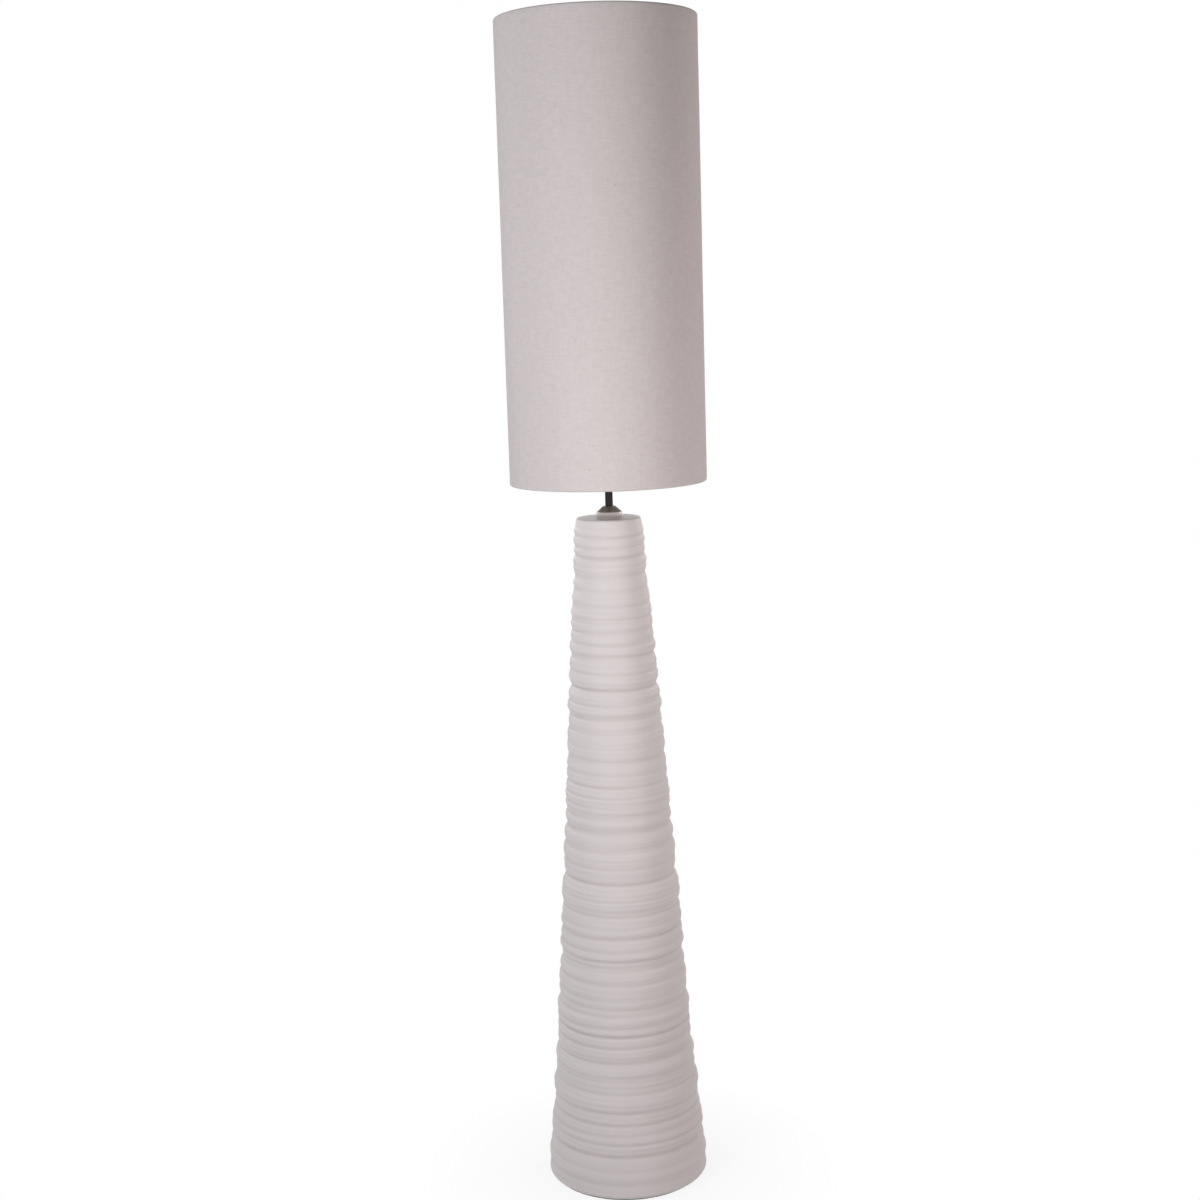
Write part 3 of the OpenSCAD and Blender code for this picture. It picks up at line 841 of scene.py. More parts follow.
class FOOT_OT_add(bpy.types.Operator):
    """Add the felt ring, the cord bush and the clamping stack under the column"""

    bl_idname = "lamp.add_foot"
    bl_label = "Foot"

    def execute(self, context):
        low, high = heights_of("felt_ring")
        outer = radius_of("felt_ring")
        inner = COLUMN_OT_add.recess_radius + 1
        fray = drift(21, 0.9, 0, 400)

        def fuzzy(angle, radius, height):
            """Frays both cut edges, always into the felt."""
            return radius + 0.25 * fray(angle * 60) * np.where(radius > (inner + outer) / 2, -1, 1)

        felt = turned(
            "felt_ring_pad",
            rounded(plain_ring(inner, outer, low, high), 0.6),
            320,
            fuzzy,
        )
        dress(felt, "base", wool_felt(), "felt", "felt_ring")
        self.add_bush()
        rubber = black_rubber()
        zinc = zinc_plate()
        for name, node, material, slot, edge in (
            ("rubber_cushion", "foot_cushion", rubber, "black_rubber", 0.5),
            ("steel_washer", "foot_washer", zinc, "zinc_steel", 0.3),
        ):
            bottom, top = heights_of(node)
            ring = plain_ring(COLUMN_OT_add.rod_hole, radius_of(node), bottom, top)
            dress(turned(name, rounded(ring, edge), 96), "base", material, slot, node)
        self.add_nut(zinc)
        self.add_rod(zinc)
        paint(zinc, "zinc_steel", "spring_washer")
        return {"FINISHED"}

    def add_bush(self):
        """The bush snaps into the wall: a flange outside, a barb and a tapered nose inside."""
        low, high = span("cord_bush")
        flange = (high.z - low.z) / 2
        centre = (high.z + low.z) / 2
        bore, body, barb = 3.5, 5.5, 6.3
        inside = COLUMN_OT_add.recess_radius
        seat = high.y - 2
        outline = [
            (bore, low.y),
            (body - 0.8, low.y),
            (barb, inside - 1.6),
            (barb, inside - 0.8),
            (body, inside - 0.8),
            (body, seat),
            (flange, seat),
            (flange, seat + 1),
            (flange - 1, high.y),
            (bore, high.y),
        ]
        bush = turned(
            "cord_bush_moulding",
            rounded(outline, 0.35),
            64,
            placed=facing_rear(centre),
        )
        dress(bush, "base", black_rubber(), "black_rubber", "cord_bush")

    def add_nut(self, material):
        """A hexagon nut with its corners turned off."""
        low, high = span("foot_nut")
        flat = (high.y - low.y) / 2
        corner = (high.x - low.x) / 2
        bore = 5.05

        def hexagon(angle, radius, height):
            """Brings the outside in to the six flats."""
            side = flat / np.cos(np.abs((angle % (math.pi / 3)) - math.pi / 6))
            return np.where(radius > bore + 0.6, np.minimum(radius, side), radius)

        outline = [
            (bore + 0.5, low.z),
            (flat - 0.2, low.z),
            (corner, low.z + 0.75),
            (corner, high.z - 0.75),
            (flat - 0.2, high.z),
            (bore + 0.5, high.z),
            (bore, high.z - 0.5),
            (bore, low.z + 0.5),
        ]
        nut = turned("hexagon_nut", outline, 96, hexagon, sharp=20)
        dress(nut, "base", material, "zinc_steel", "foot_nut")

    def add_rod(self, material):
        """The hollow rod, with its fine thread where it comes out under the nut."""
        low, high = heights_of("threaded_rod")
        bore, outer = 3.7, radius_of("threaded_rod")
        threaded = low + 24
        outline = [
            (bore + 0.3, low),
            (outer - 0.7, low),
            *[(outer, float(h)) for h in rows_between(low + 0.5, threaded, 0.125)],
            (outer, high - 0.5),
            (outer - 0.5, high),
            (bore + 0.3, high),
            (bore, high - 0.3),
            (bore, low + 0.3),
        ]
        cut = thread(1.0, 0.5, low, threaded, outer - 0.01)
        rod = turned("threaded_steel_rod", outline, 48, cut)
        dress(rod, "base", material, "zinc_steel", "threaded_rod")


class METAL_PG_look(bpy.types.PropertyGroup):
    # The tube's colour is partly its dark plating and partly a painted reflection of the dark
    # studio that it mirrors
    tube: FloatVectorProperty(
        name="Black chrome",
        description="Colour of the plated neck tube",
        default=linear("#383133"),
        **COLOUR,
    )
    cap: FloatVectorProperty(
        name="Smoked chrome",
        description="Colour of the plated cap",
        default=linear("#CBC3C1"),
        **COLOUR,
    )
    edge: FloatProperty(
        name="Edge",
        description="Rounding of the cap's turned edges",
        unit="LENGTH",
        min=0.0001,
        max=0.001,
        default=0.5 * MM,
    )


class NECK_OT_add(bpy.types.Operator):
    """Add the gasket, the polished cap and the neck tube"""

    bl_idname = "lamp.add_neck"
    bl_label = "Neck"

    tube_bore = 4.0
    gasket_bore = 8.0

    def execute(self, context):
        look = context.scene.lamp_metal
        smoked = dark_chrome("smoked_chrome_plate", look.cap, 0.42)
        # The tube's dark colour is partly a painted reflection of the dark studio round the camera
        black = dark_chrome("black_chrome_and_painted_reflection", look.tube, 0.24)
        low, high = heights_of("column_cap")
        seat = heights_of("cap_gasket")[1]
        outer = radius_of("column_cap")
        bore, spigot, tip, cone = 5.05, 7.5, 8.5, 7.2
        outline = [
            (bore, low),
            (spigot, low),
            (spigot, seat),
            (outer, seat),
            (outer, high - cone),
            (tip, high),
            (bore, high),
        ]
        edge = look.edge / MM
        cap = turned("turned_cap", rounded(outline, [0.2, edge, 0.1, edge, edge, edge, 0.2]), 128)
        dress(cap, "base", smoked, "black_chrome", "column_cap")
        low, high = heights_of("neck_tube")
        ring = plain_ring(self.tube_bore, radius_of("neck_tube"), low, high)
        tube = turned("drawn_neck_tube", rounded(ring, 0.3), 96)
        dress(tube, "base", black, "black_chrome", "neck_tube")
        low, high = heights_of("cap_gasket")
        ring = plain_ring(self.gasket_bore, radius_of("cap_gasket"), low, high)
        gasket = turned("silicone_gasket", rounded(ring, 0.45), 96)
        dress(gasket, "base", clear_rubber(), "pale_rubber", "cap_gasket")
        return {"FINISHED"}


# ---------------------------------------------------------------- lampholder and bulb


class HOLDER_OT_add(bpy.types.Operator):
    """Add the lampholder with its contacts and the shade ring"""

    bl_idname = "lamp.add_holder"
    bl_label = "Lampholder"

    wall = 1.8
    ledge = 1.6
    thread_pitch = 3.0

    def execute(self, context):
        plastic = black_plastic()
        brass = rolled_brass()
        self.add_cup(plastic)
        self.add_shell(plastic)
        self.add_shade_ring(plastic)
        paint(zinc_plate(), "zinc_steel", "holder_grub_screw")
        paint(glazed_porcelain(), "porcelain", "holder_insert")
        paint(brass, "brass", "terminal_screws", "centre_contact", "screw_sleeve")
        return {"FINISHED"}

    def add_cup(self, plastic):
        """The cup: a short entry, a domed shoulder and a straight wall."""
        low, high = heights_of("holder_cup")
        outer = radius_of("holder_cup")
        insert = heights_of("holder_insert")[0]
        entry, entry_h, dome = 8.0, 8.0, 8.0
        bore = radius_of("neck_tube") + 0.05
        inner = outer - self.wall
        ledge = inner - self.ledge
        dome_low = low + entry_h - self.wall
        turns = np.radians(np.linspace(0, 90, 13))
        outline = [(bore, low), (entry, low)]
        outline += [
            (entry + (outer - entry) * math.sin(t), dome_low + dome * (1 - math.cos(t)))
            for t in turns
        ]
        outline += [(outer, high), (inner, high), (inner, insert), (ledge, insert)]
        outline += [
            (
                bore + 1 + (ledge - bore - 1) * math.sin(t),
                low + entry_h + dome / 2 * (1 - math.cos(t)),
            )
            for t in reversed(turns)
        ]
        outline.append((bore, low + entry_h))
        cup = turned("holder_cup_moulding", rounded(outline, 0.25), 96)
        dress(cup, "base", plastic, "holder_plastic", "holder_cup")

    def add_shell(self, plastic):
        """The shell: a shoulder that carries the shade, and a threaded skirt above it."""
        low, high = heights_of("holder_shell")
        shoulder = radius_of("holder_shell")
        seat = heights_of("fitter_ring")[0]
        skirt = radius_of("holder_cup")
        inner = skirt - self.wall
        press = inner - self.ledge
        rim = 13.8
        outline = [
            (press, low),
            (shoulder - 0.5, low),
            (shoulder, low + 0.5),
            (shoulder, seat),
            (skirt, seat),
            *[(skirt, float(h)) for h in rows_between(seat + 0.4, high - 0.8, 0.35)],
            (skirt - 0.5, high),
            (rim, high),
            (rim, high - 2),
            (inner, high - 2),
            (inner, low + 2),
            (press, low + 2),
        ]
        cut = thread(self.thread_pitch, 0.55, seat + 1.2, high - 1.5, skirt - 0.01)

        def skirt_only(angle, radius, height):
            """Keeps the thread off the shoulder, which is wider than the skirt."""
            return np.where(height > seat + 0.2, cut(angle, radius, height), radius)

        shell = turned("holder_shell_moulding", outline, 96, skirt_only)
        dress(shell, "base", plastic, "holder_plastic", "holder_shell")

    def add_shade_ring(self, plastic):
        """The ring that clamps the shade: a flange, and a collar with finger ribs."""
        low, high = heights_of("shade_ring")
        outer = radius_of("shade_ring")
        bore, collar, flange, rib, ribs = 19.8, 23.0, 2.5, 0.8, 24

        def ribbed(angle, radius, height):
            """Raises flat-topped ribs on the collar, which run out at its ends."""
            wave = np.clip(np.cos(angle * ribs), 0, 1) ** 0.6
            ends = np.clip(np.minimum(height - low - flange, high - 0.6 - height) / 0.8, 0, 1)
            on_collar = np.abs(radius - collar) < 0.3
            return np.where(on_collar, radius + rib * wave * ends, radius)

        outline = [
            (bore, low),
            (outer - 0.4, low),
            (outer, low + 0.4),
            (outer, low + flange - 0.6),
            (outer - 0.6, low + flange),
            (collar, low + 2 * flange),
            *[(collar, float(h)) for h in rows_between(low + 2 * flange + 0.3, high - 0.7, 0.6)],
            (collar - 0.6, high),
            (bore + 0.4, high),
            (bore, high - 0.4),
        ]
        ring = turned("shade_ring_moulding", outline, 288, ribbed)
        dress(ring, "clamp_ring", plastic, "holder_plastic", "shade_ring")


class BULB_OT_add(bpy.types.Operator):
    """Add the screw bulb with its opal glass"""

    bl_idname = "lamp.add_bulb"
    bl_label = "Bulb"

    screw_pitch = 3.63

    def execute(self, context):
        paint(tin_solder(), "solder", "bulb_contact")
        paint(black_glass(), "cap_glass", "bulb_insulator")
        low, high = heights_of("bulb_cap")
        outer, wall, insulator = radius_of("bulb_cap"), 0.5, 11.2
        shoulder = low + outer - insulator
        outline = [
            (insulator, low),
            (outer - 0.6, shoulder - 0.6),
            *[(outer, float(h)) for h in rows_between(shoulder, high - 2.5, 0.4)],
            (outer - 0.2, high - 1.6),
            (outer - 0.2, high),
            (outer - wall - 0.2, high),
            (outer - wall - 0.9, shoulder + 1),
            (insulator, low + 1),
        ]
        cut = thread(self.screw_pitch, 0.7, shoulder - 0.5, high - 2.2, outer - 0.01)
        cap = turned("bulb_screw_cap", outline, 96, cut)
        dress(cap, "bulb", nickel_plate(), "nickel", "bulb_cap")
        self.add_glass()
        return {"FINISHED"}

    def add_glass(self):
        """The glass: a round of full diameter on a flared neck, one wall thick."""
        low, high = heights_of("bulb_glass")
        cap_top = heights_of("bulb_cap")[1]
        big = radius_of("bulb_glass")
        centre = high - big
        neck, wall = 12.4, 0.8
        angle = math.radians(40)

        def face(inset):
            """One face of the glass from the cap to the crown, inset from the outer one."""
            r = big - inset
            meet_z, meet_r = centre - r * math.sin(angle), r * math.cos(angle)
            slope = (meet_z - cap_top) * math.tan(angle)
            start = neck - inset
            flare = []
            for t in np.linspace(0, 1, 15)[:-1]:
                ease = 3 * t * t - 2 * t**3
                width = start + (meet_r - start) * ease + slope * (t**3 - t * t)
                flare.append((width, cap_top + t * (meet_z - cap_top)))
            crown = [
                (r * math.cos(a), centre + r * math.sin(a))
                for a in np.linspace(-angle, math.pi / 2, 32)
            ]
            return [(start, low), *flare, *crown[:-1], (0.0, centre + r)]

        outline = face(0) + face(wall)[::-1]
        glass = turned("opal_bulb_glass", outline, 96, sharp=60)
        dress(glass, "bulb", opal_glass(), "opal_glass", "bulb_glass")


# ---------------------------------------------------------------- shade


class SHADE_PG_look(bpy.types.PropertyGroup):
    light_yarn: FloatVectorProperty(
        name="Light yarn",
        description="Colour of the paler yarn",
        default=linear("#D3C8C8"),
        **COLOUR,
    )
    dark_yarn: FloatVectorProperty(
        name="Dark yarn",
        description="Colour of the darker yarn",
        default=linear("#C6BABA"),
        **COLOUR,
    )
    fleck: FloatVectorProperty(
        name="Fleck",
        description="Colour of the bits of bark left in the yarn",
        default=linear("#8F8580"),
        **COLOUR,
    )
    yarn: FloatProperty(
        name="Yarn",
        description="Drawn distance from one yarn to the next",
        unit="LENGTH",
        min=0.0005,
        max=0.004,
        default=1.4 * MM,
    )
    slub: FloatProperty(
        name="Slub",
        description="Length of the thick places in the yarn",
        unit="LENGTH",
        min=0.005,
        max=0.06,
        default=20 * MM,
    )
    lap: FloatProperty(
        name="Lap",
        description="Overlap of the cloth at the seam behind the lamp",
        unit="LENGTH",
        min=0.005,
        max=0.03,
        default=14 * MM,
    )


class SHADE_OT_add(bpy.types.Operator):
    """Add the linen shade, its lining, its ring wires and its spider"""

    bl_idname = "lamp.add_shade"
    bl_label = "Shade"

    cloth = 0.8
    film = 0.8
    wire = 3.0
    fitter_bore = 20.25
    arm_turns = (90, 210, 330)
    turn_in = 10
    # The cloth stands off the film by up to slack, but not this near its edges
    slack = 0.12
    taut_edge = 60
    lap_gap = 0.05
    notch = 6.0
    seam_angle = 118
    columns = 300

    def execute(self, context):
        look = context.scene.lamp_shade
        coat = powder_coat()
        paint(plastic_lining(), "shade_lining", "shade_lining")
        paint(coat, "white_wire", "top_wire", "bottom_wire")
        paint(coat, "white_wire", "spider_arm_1", "spider_arm_2", "spider_arm_3")
        self.add_fitter(coat)
        self.add_cloth(look)
        return {"FINISHED"}

    def arm_ends(self):
        """Both ends of each arm's middle line: at the fitter ring, and at the lower wire."""
        ends = []
        wire = (heights_of("bottom_wire")[1] - heights_of("bottom_wire")[0]) / 2
        ring = radius_of("bottom_wire") - wire
        for turn in map(math.radians, self.arm_turns):
            away = Vector((math.cos(turn), math.sin(turn), 0))
            start = away * (radius_of("fitter_ring") - 1.5)
            start.z = heights_of("fitter_ring")[0] + 0.5
            end = away * ring
            end.z = heights_of("bottom_wire")[0] + wire
            ends.append((start, end))
        return ends

    def add_fitter(self, coat):
        """The fitter ring, and the beads of weld where the arms meet it and the wire."""
        low, high = heights_of("fitter_ring")
        ring = plain_ring(self.fitter_bore, radius_of("fitter_ring"), low, high)
        piece = turned("fitter_ring_plate", rounded(ring, 0.4), 128)
        dress(piece, "shade", coat, "white_wire", "fitter_ring")
        draw = np.random.RandomState(31)
        for index, (start, end) in enumerate(self.arm_ends()):
            run = (end - start).normalized()
            for place, where in ((start + run * 1.4, "ring"), (end - run * 1.2, "wire")):
                bead = self.weld_bead(f"weld_{where}_{index + 1}", place, run, draw)
                dress(bead, "shade", coat, "white_wire")

    def weld_bead(self, name, place, run, draw):
        """A lumpy bead of weld, longer along the wire that it holds."""
        work = bmesh.new()
        bmesh.ops.create_icosphere(work, subdivisions=3, radius=1)
        turn = run.to_track_quat("Z", "Y").to_matrix()
        wide, long, lumpy = 2.1, 2.9, 0.035
        waves = draw.uniform(-1, 1, (4, 3)) * 2.2
        phases = draw.uniform(0, FULL_TURN, 4)
        points = []
        for vert in work.verts:
            lump = sum(
                math.sin(Vector(wave).dot(vert.co) * 2 + phase)
                for wave, phase in zip(waves, phases)
            )
            shape = vert.co * (1 + lumpy * lump)
            points.append(turn @ Vector((shape.x * wide, shape.y * wide, shape.z * long)) + place)
        faces = [tuple(v.index for v in face.verts) for face in work.faces]
        work.free()
        return new_piece(name, points, faces, sharp=80)

    def cloth_path(self):
        """The cloth's middle line from its raw edge below to the one above.

        Gives radius, height, outward direction and length so far, for each row.
        """
        outer = radius_of("shade_fabric")
        low, high = heights_of("shade_fabric")
        fold = (2 * self.cloth + self.film + self.wire) / 2
        middle = fold - self.cloth / 2
        centre = outer - fold
        rows = []
        for h in np.linspace(low + self.turn_in, low + fold, 7)[:-1]:
            rows.append((centre - middle, h, -1.0, 0.0))
        for a in np.radians(np.linspace(180, 360, 17)):
            x, z = math.cos(a), math.sin(a)
            rows.append((centre + middle * x, low + fold + middle * z, x, z))
        for h in rows_between(low + fold, high - fold, 9)[1:-1]:
            rows.append((centre + middle, h, 1.0, 0.0))
        for a in np.radians(np.linspace(0, 180, 17)):
            x, z = math.cos(a), math.sin(a)
            rows.append((centre + middle * x, high - fold + middle * z, x, z))
        for h in np.linspace(high - fold, high - self.turn_in, 7)[1:]:
            rows.append((centre - middle, h, -1.0, 0.0))
        rows = np.array(rows)
        steps = np.hypot(np.diff(rows[:, 0]), np.diff(rows[:, 1]))
        return rows, np.concatenate([[0], np.cumsum(steps)])

    def add_cloth(self, look):
        """One cut of linen: wrapped round, lapped at the back, turned in over both wires."""
        rows, along = self.cloth_path()
        radius = radius_of("shade_fabric") - self.cloth / 2
        lap = look.lap / MM
        width = FULL_TURN * radius + lap
        across = np.linspace(0, width, self.columns)
        notches = []
        for arm_turn in self.arm_turns:
            turn = math.radians(arm_turn - self.seam_angle) % FULL_TURN
            half = self.notch / 2 / (radius - 5)
            notches.append(((turn - half) * radius, (turn + half) * radius))
        edges = np.array([edge for pair in notches for edge in pair])
        gap = width / self.columns * 0.5
        keep = np.abs(across[:, None] - edges[None, :]).min(axis=1) > gap
        across = np.sort(np.concatenate([across[keep], edges]))
        angle = math.radians(self.seam_angle) + across / radius
        rise = np.clip((across - (width - 2 * lap)) / lap, 0, 1)
        lift = (self.cloth + self.lap_gap) * rise * rise * (3 - 2 * rise)
        slack = drift(41, 90, 0, width)(across)[:, None] * drift(42, 70, 0, 700)(along)[None, :]
        from_edge = np.minimum(along, along[-1] - along)
        slack *= self.slack * np.clip(from_edge / self.taut_edge, 0, 1)[None, :]
        offset = lift[:, None] + np.clip(slack, -0.1, self.slack)
        count = len(rows)
        sides = []
        for side in (self.cloth / 2, -self.cloth / 2):
            reach = offset + side
            r = rows[None, :, 0] + rows[None, :, 2] * reach
            z = rows[None, :, 1] + rows[None, :, 3] * reach
            sides.append(
                np.stack([r * np.cos(angle)[:, None], r * np.sin(angle)[:, None], z], axis=-1)
            )
        points = np.concatenate([s.reshape(-1, 3) for s in sides])
        back = len(across) * count
        notch_top = heights_of("bottom_wire")[0]
        folded = (along < along[-1] / 2) & (rows[:, 0] < radius - 2) & (rows[:, 1] >= notch_top)
        cell = np.ones((len(across) - 1, count - 1), bool)
        middle = (across[:-1] + across[1:]) / 2
        cut_rows = folded[:-1] & folded[1:]
        for first, last in notches:
            inside = (middle > first) & (middle < last)
            cell[np.ix_(inside, cut_rows)] = False
        cloth = self.cloth_mesh(points, self.cloth_faces(cell, back), across, along)
        dress(cloth, "shade", woven_linen(look), "shade_linen", "shade_fabric")

    def cloth_faces(self, cell, back):
        """Faces of the cloth's front, of its back, and of the edge round each missing cell."""
        count = cell.shape[1] + 1
        faces = []
        for i, j in zip(*np.nonzero(cell)):
            a, b = int(i * count + j), int((i + 1) * count + j)
            faces.append((a, b, b + 1, a + 1))
            faces.append((back + a, back + a + 1, back + b + 1, back + b))
            for di, dj, p, q in (
                (-1, 0, a + 1, a),
                (1, 0, b, b + 1),
                (0, -1, a, b),
                (0, 1, b + 1, a + 1),
            ):
                ni, nj = i + di, j + dj
                outside = not (0 <= ni < cell.shape[0] and 0 <= nj < cell.shape[1])
                if outside or not cell[ni, nj]:
                    faces.append((q, p, back + p, back + q))
        return faces

    def cloth_mesh(self, points, faces, across, along):
        """The cloth as a mesh, with its flat cut kept as a UV map in metres."""
        mesh = bpy.data.meshes.new("linen_shade")
        mesh.from_pydata((points * MM).tolist(), [], faces)
        u = np.repeat(across, len(along)) * MM
        v = np.tile(along, len(across)) * MM
        flat = np.stack([np.tile(u, 2), np.tile(v, 2)], axis=-1).astype(np.float32)
        corner = np.empty(len(mesh.loops), np.int32)
        mesh.loops.foreach_get("vertex_index", corner)
        layer = mesh.uv_layers.new(name="cut")
        layer.data.foreach_set("uv", flat[corner].ravel())
        work = bmesh.new()
        work.from_mesh(mesh)
        loose = [vert for vert in work.verts if not vert.link_faces]
        bmesh.ops.delete(work, geom=loose, context="VERTS")
        work.to_mesh(mesh)
        work.free()
        mesh.shade_smooth()
        mesh.set_sharp_from_angle(angle=math.radians(50))
        return put_in_scene("linen_shade", mesh)


# ---------------------------------------------------------------- stage


class STAGE_PG_look(bpy.types.PropertyGroup):
    key_power: FloatProperty(
        name="Key light",
        description="Power of the large soft light on the left, in watts",
        min=0,
        default=21.5,
    )
    fill_power: FloatProperty(
        name="Fill light",
        description="Power of the soft light on the right, in watts",
        min=0,
        default=9.4,
    )
    near_power: FloatProperty(
        name="Near light",
        description="Power of the small light in front of the column's neck, in watts",
        min=0,
        default=2.2,
    )
    back_power: FloatProperty(
        name="Back light",
        description="Power of the wide light behind the lamp, in watts",
        min=0,
        default=6,
    )
    left_power: FloatProperty(
        name="Left rear light",
        description="Power of the light behind the lamp on the left, in watts",
        min=0,
        default=6.5,
    )
    right_power: FloatProperty(
        name="Right rear light",
        description="Power of the light behind the lamp on the right, in watts",
        min=0,
        default=8.8,
    )
    sky: FloatProperty(
        name="Sky",
        description="Level of the even light from all round",
        min=0,
        max=2,
        default=0.02,
    )
    shadow: FloatProperty(
        name="Shadow",
        description="Share of the floor's own shading that the camera sees",
        min=0,
        max=1,
        default=0.15,
    )


# Colours of the lights: daylight on the left, and a little warmer on the right
COOL, PLAIN, WARM = (0.94, 0.99, 1.01), (1.0, 1.0, 1.0), (1.0, 0.965, 0.94)


class STAGE_OT_add(bpy.types.Operator):
    """Add the pale floor, the soft lights and the camera"""

    bl_idname = "lamp.add_stage"
    bl_label = "Stage"

    # The camera, as the photograph's outline gives it, in metres and degrees
    camera_place = (0.0, -2.439, 1.190)
    camera_lens = 55.5
    camera_yaw = -0.371
    camera_pitch = 9.017
    camera_roll = -1.714
    floor_size = 12.0

    def execute(self, context):
        look = context.scene.lamp_stage
        context.scene.view_settings.view_transform = "Standard"
        self.add_camera()
        self.add_floor(look)
        self.add_sky(context, look)
        neck = Vector((0, 0, 0.9))
        for name, place, size, power, colour in (
            ("key", (-1.22, -1.22, 1.42), (1.0, 0.8), look.key_power, COOL),
            ("near", (0.1, -0.9, 0.84), (0.35, 0.35), look.near_power, PLAIN),
            ("fill", (1.25, -1.15, 1.05), (0.9, 0.9), look.fill_power, WARM),
            ("back", (0, 1.3, 1.08), (1.6, 0.4), look.back_power, PLAIN),
            ("left_rim", (-1.35, 0.95, 1.35), (0.5, 0.9), look.left_power, PLAIN),
            ("right_rim", (1.35, 0.95, 1.35), (0.5, 0.9), look.right_power, WARM),
        ):
            light = self.add_light(name, place, neck, size, power, colour)
            # Mirrors show the lights behind the lamp, and not the softer ones in front
            light.visible_glossy = name in ("back", "left_rim", "right_rim")
        return {"FINISHED"}

    def add_camera(self):
        """The camera: its right, up and back directions from yaw, pitch and roll."""
        yaw, pitch, roll = map(
            math.radians, (self.camera_yaw, self.camera_pitch, self.camera_roll)
        )
        ahead = Vector(
            (math.sin(yaw) * math.cos(pitch), math.cos(yaw) * math.cos(pitch), -math.sin(pitch))
        )
        right = Vector((math.cos(yaw), -math.sin(yaw), 0))
        up = right.cross(ahead)
        right_rolled = math.cos(roll) * right + math.sin(roll) * up
        up_rolled = -math.sin(roll) * right + math.cos(roll) * up
        turn = Matrix((right_rolled, up_rolled, -ahead)).transposed().to_4x4()
        lens = bpy.data.cameras.new("camera")
        lens.lens = self.camera_lens
        lens.sensor_width = 36
        lens.clip_end = 100
        camera = put_in_scene("camera", lens)
        camera.matrix_world = Matrix.Translation(self.camera_place) @ turn
        bpy.context.scene.camera = camera

    def seen(self, tree):
        """1 where the camera, a mirror or glass looks, and 0 for light on any other way."""
        rays = add_node(tree, "ShaderNodeLightPath").outputs
        clamped_sum = {"operation": "ADD", "use_clamp": True}
        looked_at = add_node(
            tree,
            "ShaderNodeMath",
            clamped_sum,
            {0: rays["Is Camera Ray"], 1: rays["Is Glossy Ray"]},
        )
        return add_node(
            tree,
            "ShaderNodeMath",
            clamped_sum,
            {0: looked_at.outputs[0], 1: rays["Is Transmission Ray"]},
        ).outputs[0]

    def add_floor(self, look):
        """A pale floor that fades into the white background and keeps the lamp's shadow."""
        half = self.floor_size / 2
        mesh = bpy.data.meshes.new("floor")
        corners = [(-half, -half, 0), (half, -half, 0), (half, half, 0), (-half, half, 0)]
        mesh.from_pydata(corners, [], [(0, 1, 2, 3)])
        put_in_scene("floor", mesh)
        material = bpy.data.materials.new("white_studio_floor")
        material.use_nodes = True
        tree = material.node_tree
        shader = tree.nodes["Principled BSDF"]
        shader.inputs["Base Color"].default_value = (*linear("#F0F0F0"), 1)
        shader.inputs["Roughness"].default_value = 0.8
        place = add_node(tree, "ShaderNodeTexCoord").outputs["Object"]
        away = add_node(
            tree, "ShaderNodeVectorMath", {"operation": "LENGTH"}, {0: place}
        ).outputs["Value"]
        fade = add_node(
            tree,
            "ShaderNodeMapRange",
            inputs={
                "Value": away,
                "From Min": 0.1,
                "From Max": 0.3,
                "To Min": 1 - look.shadow,
                "To Max": 1.0,
            },
        ).outputs["Result"]
        share = add_node(
            tree, "ShaderNodeMath", {"operation": "MULTIPLY"}, {0: self.seen(tree), 1: fade}
        ).outputs[0]
        white = add_node(tree, "ShaderNodeEmission", inputs={"Strength": 1.0}).outputs[0]
        mix = add_node(
            tree, "ShaderNodeMixShader", inputs={0: share, 1: shader.outputs[0], 2: white}
        )
        tree.links.new(mix.outputs[0], tree.nodes["Material Output"].inputs["Surface"])
        mesh.materials.append(material)

    def add_sky(self, context, look):
        """White where the camera, a mirror or glass sees it, and an even light elsewhere."""
        world = bpy.data.worlds.new("studio")
        context.scene.world = world
        world.use_nodes = True
        tree = world.node_tree
        light = tree.nodes["Background"]
        light.inputs["Color"].default_value = (1, 1, 1, 1)
        light.inputs["Strength"].default_value = look.sky
        white = add_node(
            tree, "ShaderNodeBackground", inputs={"Color": (1, 1, 1, 1), "Strength": 1.0}
        )
        mix = add_node(
            tree,
            "ShaderNodeMixShader",
            inputs={0: self.seen(tree), 1: light.outputs[0], 2: white.outputs[0]},
        )
        tree.links.new(mix.outputs[0], tree.nodes["World Output"].inputs["Surface"])

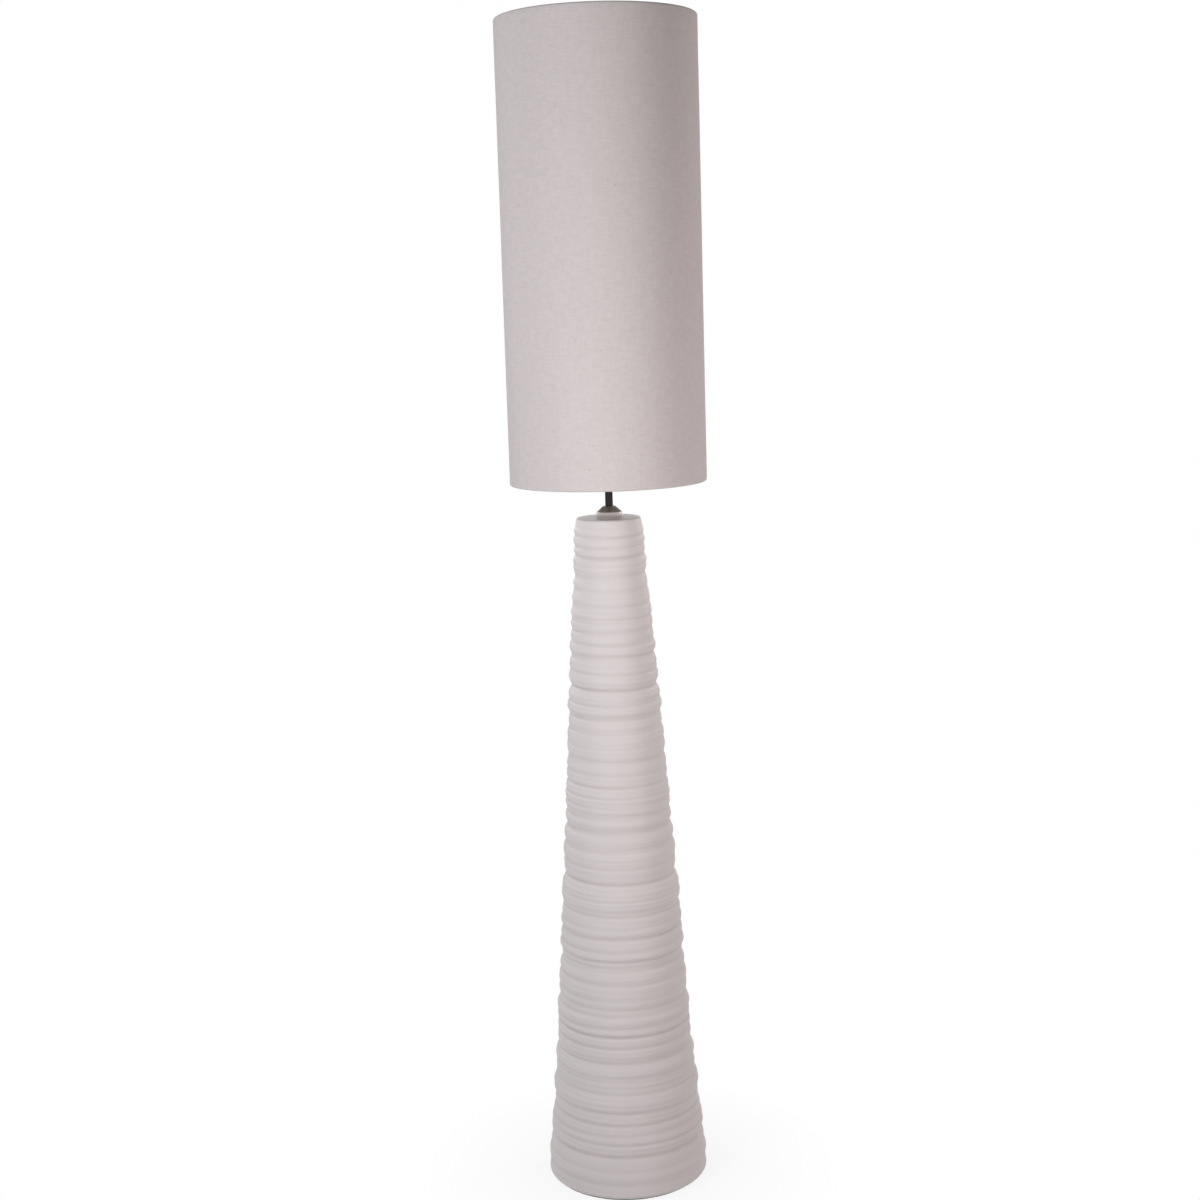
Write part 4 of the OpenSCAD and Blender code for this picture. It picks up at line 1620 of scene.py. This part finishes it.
    def add_light(self, name, place, target, size, power, colour):
        """A soft rectangular light at place, turned to target."""
        data = bpy.data.lights.new(name, "AREA")
        data.shape = "RECTANGLE"
        data.size, data.size_y = size
        data.energy = power
        data.color = colour
        light = put_in_scene(name, data)
        light.location = place
        light.rotation_mode = "QUATERNION"
        light.rotation_quaternion = (target - Vector(place)).to_track_quat("-Z", "Y")
        light.visible_camera = False
        return light


# ---------------------------------------------------------------- panel and start


class LAMP_PT_panel(bpy.types.Panel):
    bl_idname = "LAMP_PT_panel"
    bl_label = "Column Floor Lamp"
    bl_space_type = "VIEW_3D"
    bl_region_type = "UI"
    bl_category = "Lamp"

    def draw(self, context):
        for settings, operators in PANEL_ROWS:
            box = self.layout.box()
            for operator in operators:
                box.operator(operator)
            if settings:
                group = getattr(context.scene, settings)
                for name in group.__annotations__:
                    box.prop(group, name)


PANEL_ROWS = (
    ("lamp_column", ("lamp.add_column", "lamp.add_foot")),
    ("lamp_metal", ("lamp.add_neck", "lamp.add_holder")),
    ("lamp_shade", ("lamp.add_shade",)),
    (None, ("lamp.add_bulb",)),
    ("lamp_stage", ("lamp.add_stage",)),
)
SETTINGS = (
    ("lamp_column", COLUMN_PG_look),
    ("lamp_metal", METAL_PG_look),
    ("lamp_shade", SHADE_PG_look),
    ("lamp_stage", STAGE_PG_look),
)
OPERATORS = (
    COLUMN_OT_add,
    FOOT_OT_add,
    NECK_OT_add,
    HOLDER_OT_add,
    BULB_OT_add,
    SHADE_OT_add,
    STAGE_OT_add,
)


def register():
    for name, group in SETTINGS:
        bpy.utils.register_class(group)
        setattr(bpy.types.Scene, name, PointerProperty(type=group))
    for cls in (*OPERATORS, LAMP_PT_panel):
        bpy.utils.register_class(cls)


def unregister():
    for cls in (LAMP_PT_panel, *reversed(OPERATORS)):
        bpy.utils.unregister_class(cls)
    for name, group in reversed(SETTINGS):
        delattr(bpy.types.Scene, name)
        bpy.utils.unregister_class(group)


def main():
    """Builds the whole lamp and its stage."""
    register()
    bpy.ops.lamp.add_stage()
    bpy.ops.lamp.add_column()
    bpy.ops.lamp.add_foot()
    bpy.ops.lamp.add_neck()
    bpy.ops.lamp.add_holder()
    bpy.ops.lamp.add_bulb()
    bpy.ops.lamp.add_shade()


if __name__ == "__main__":
    main()
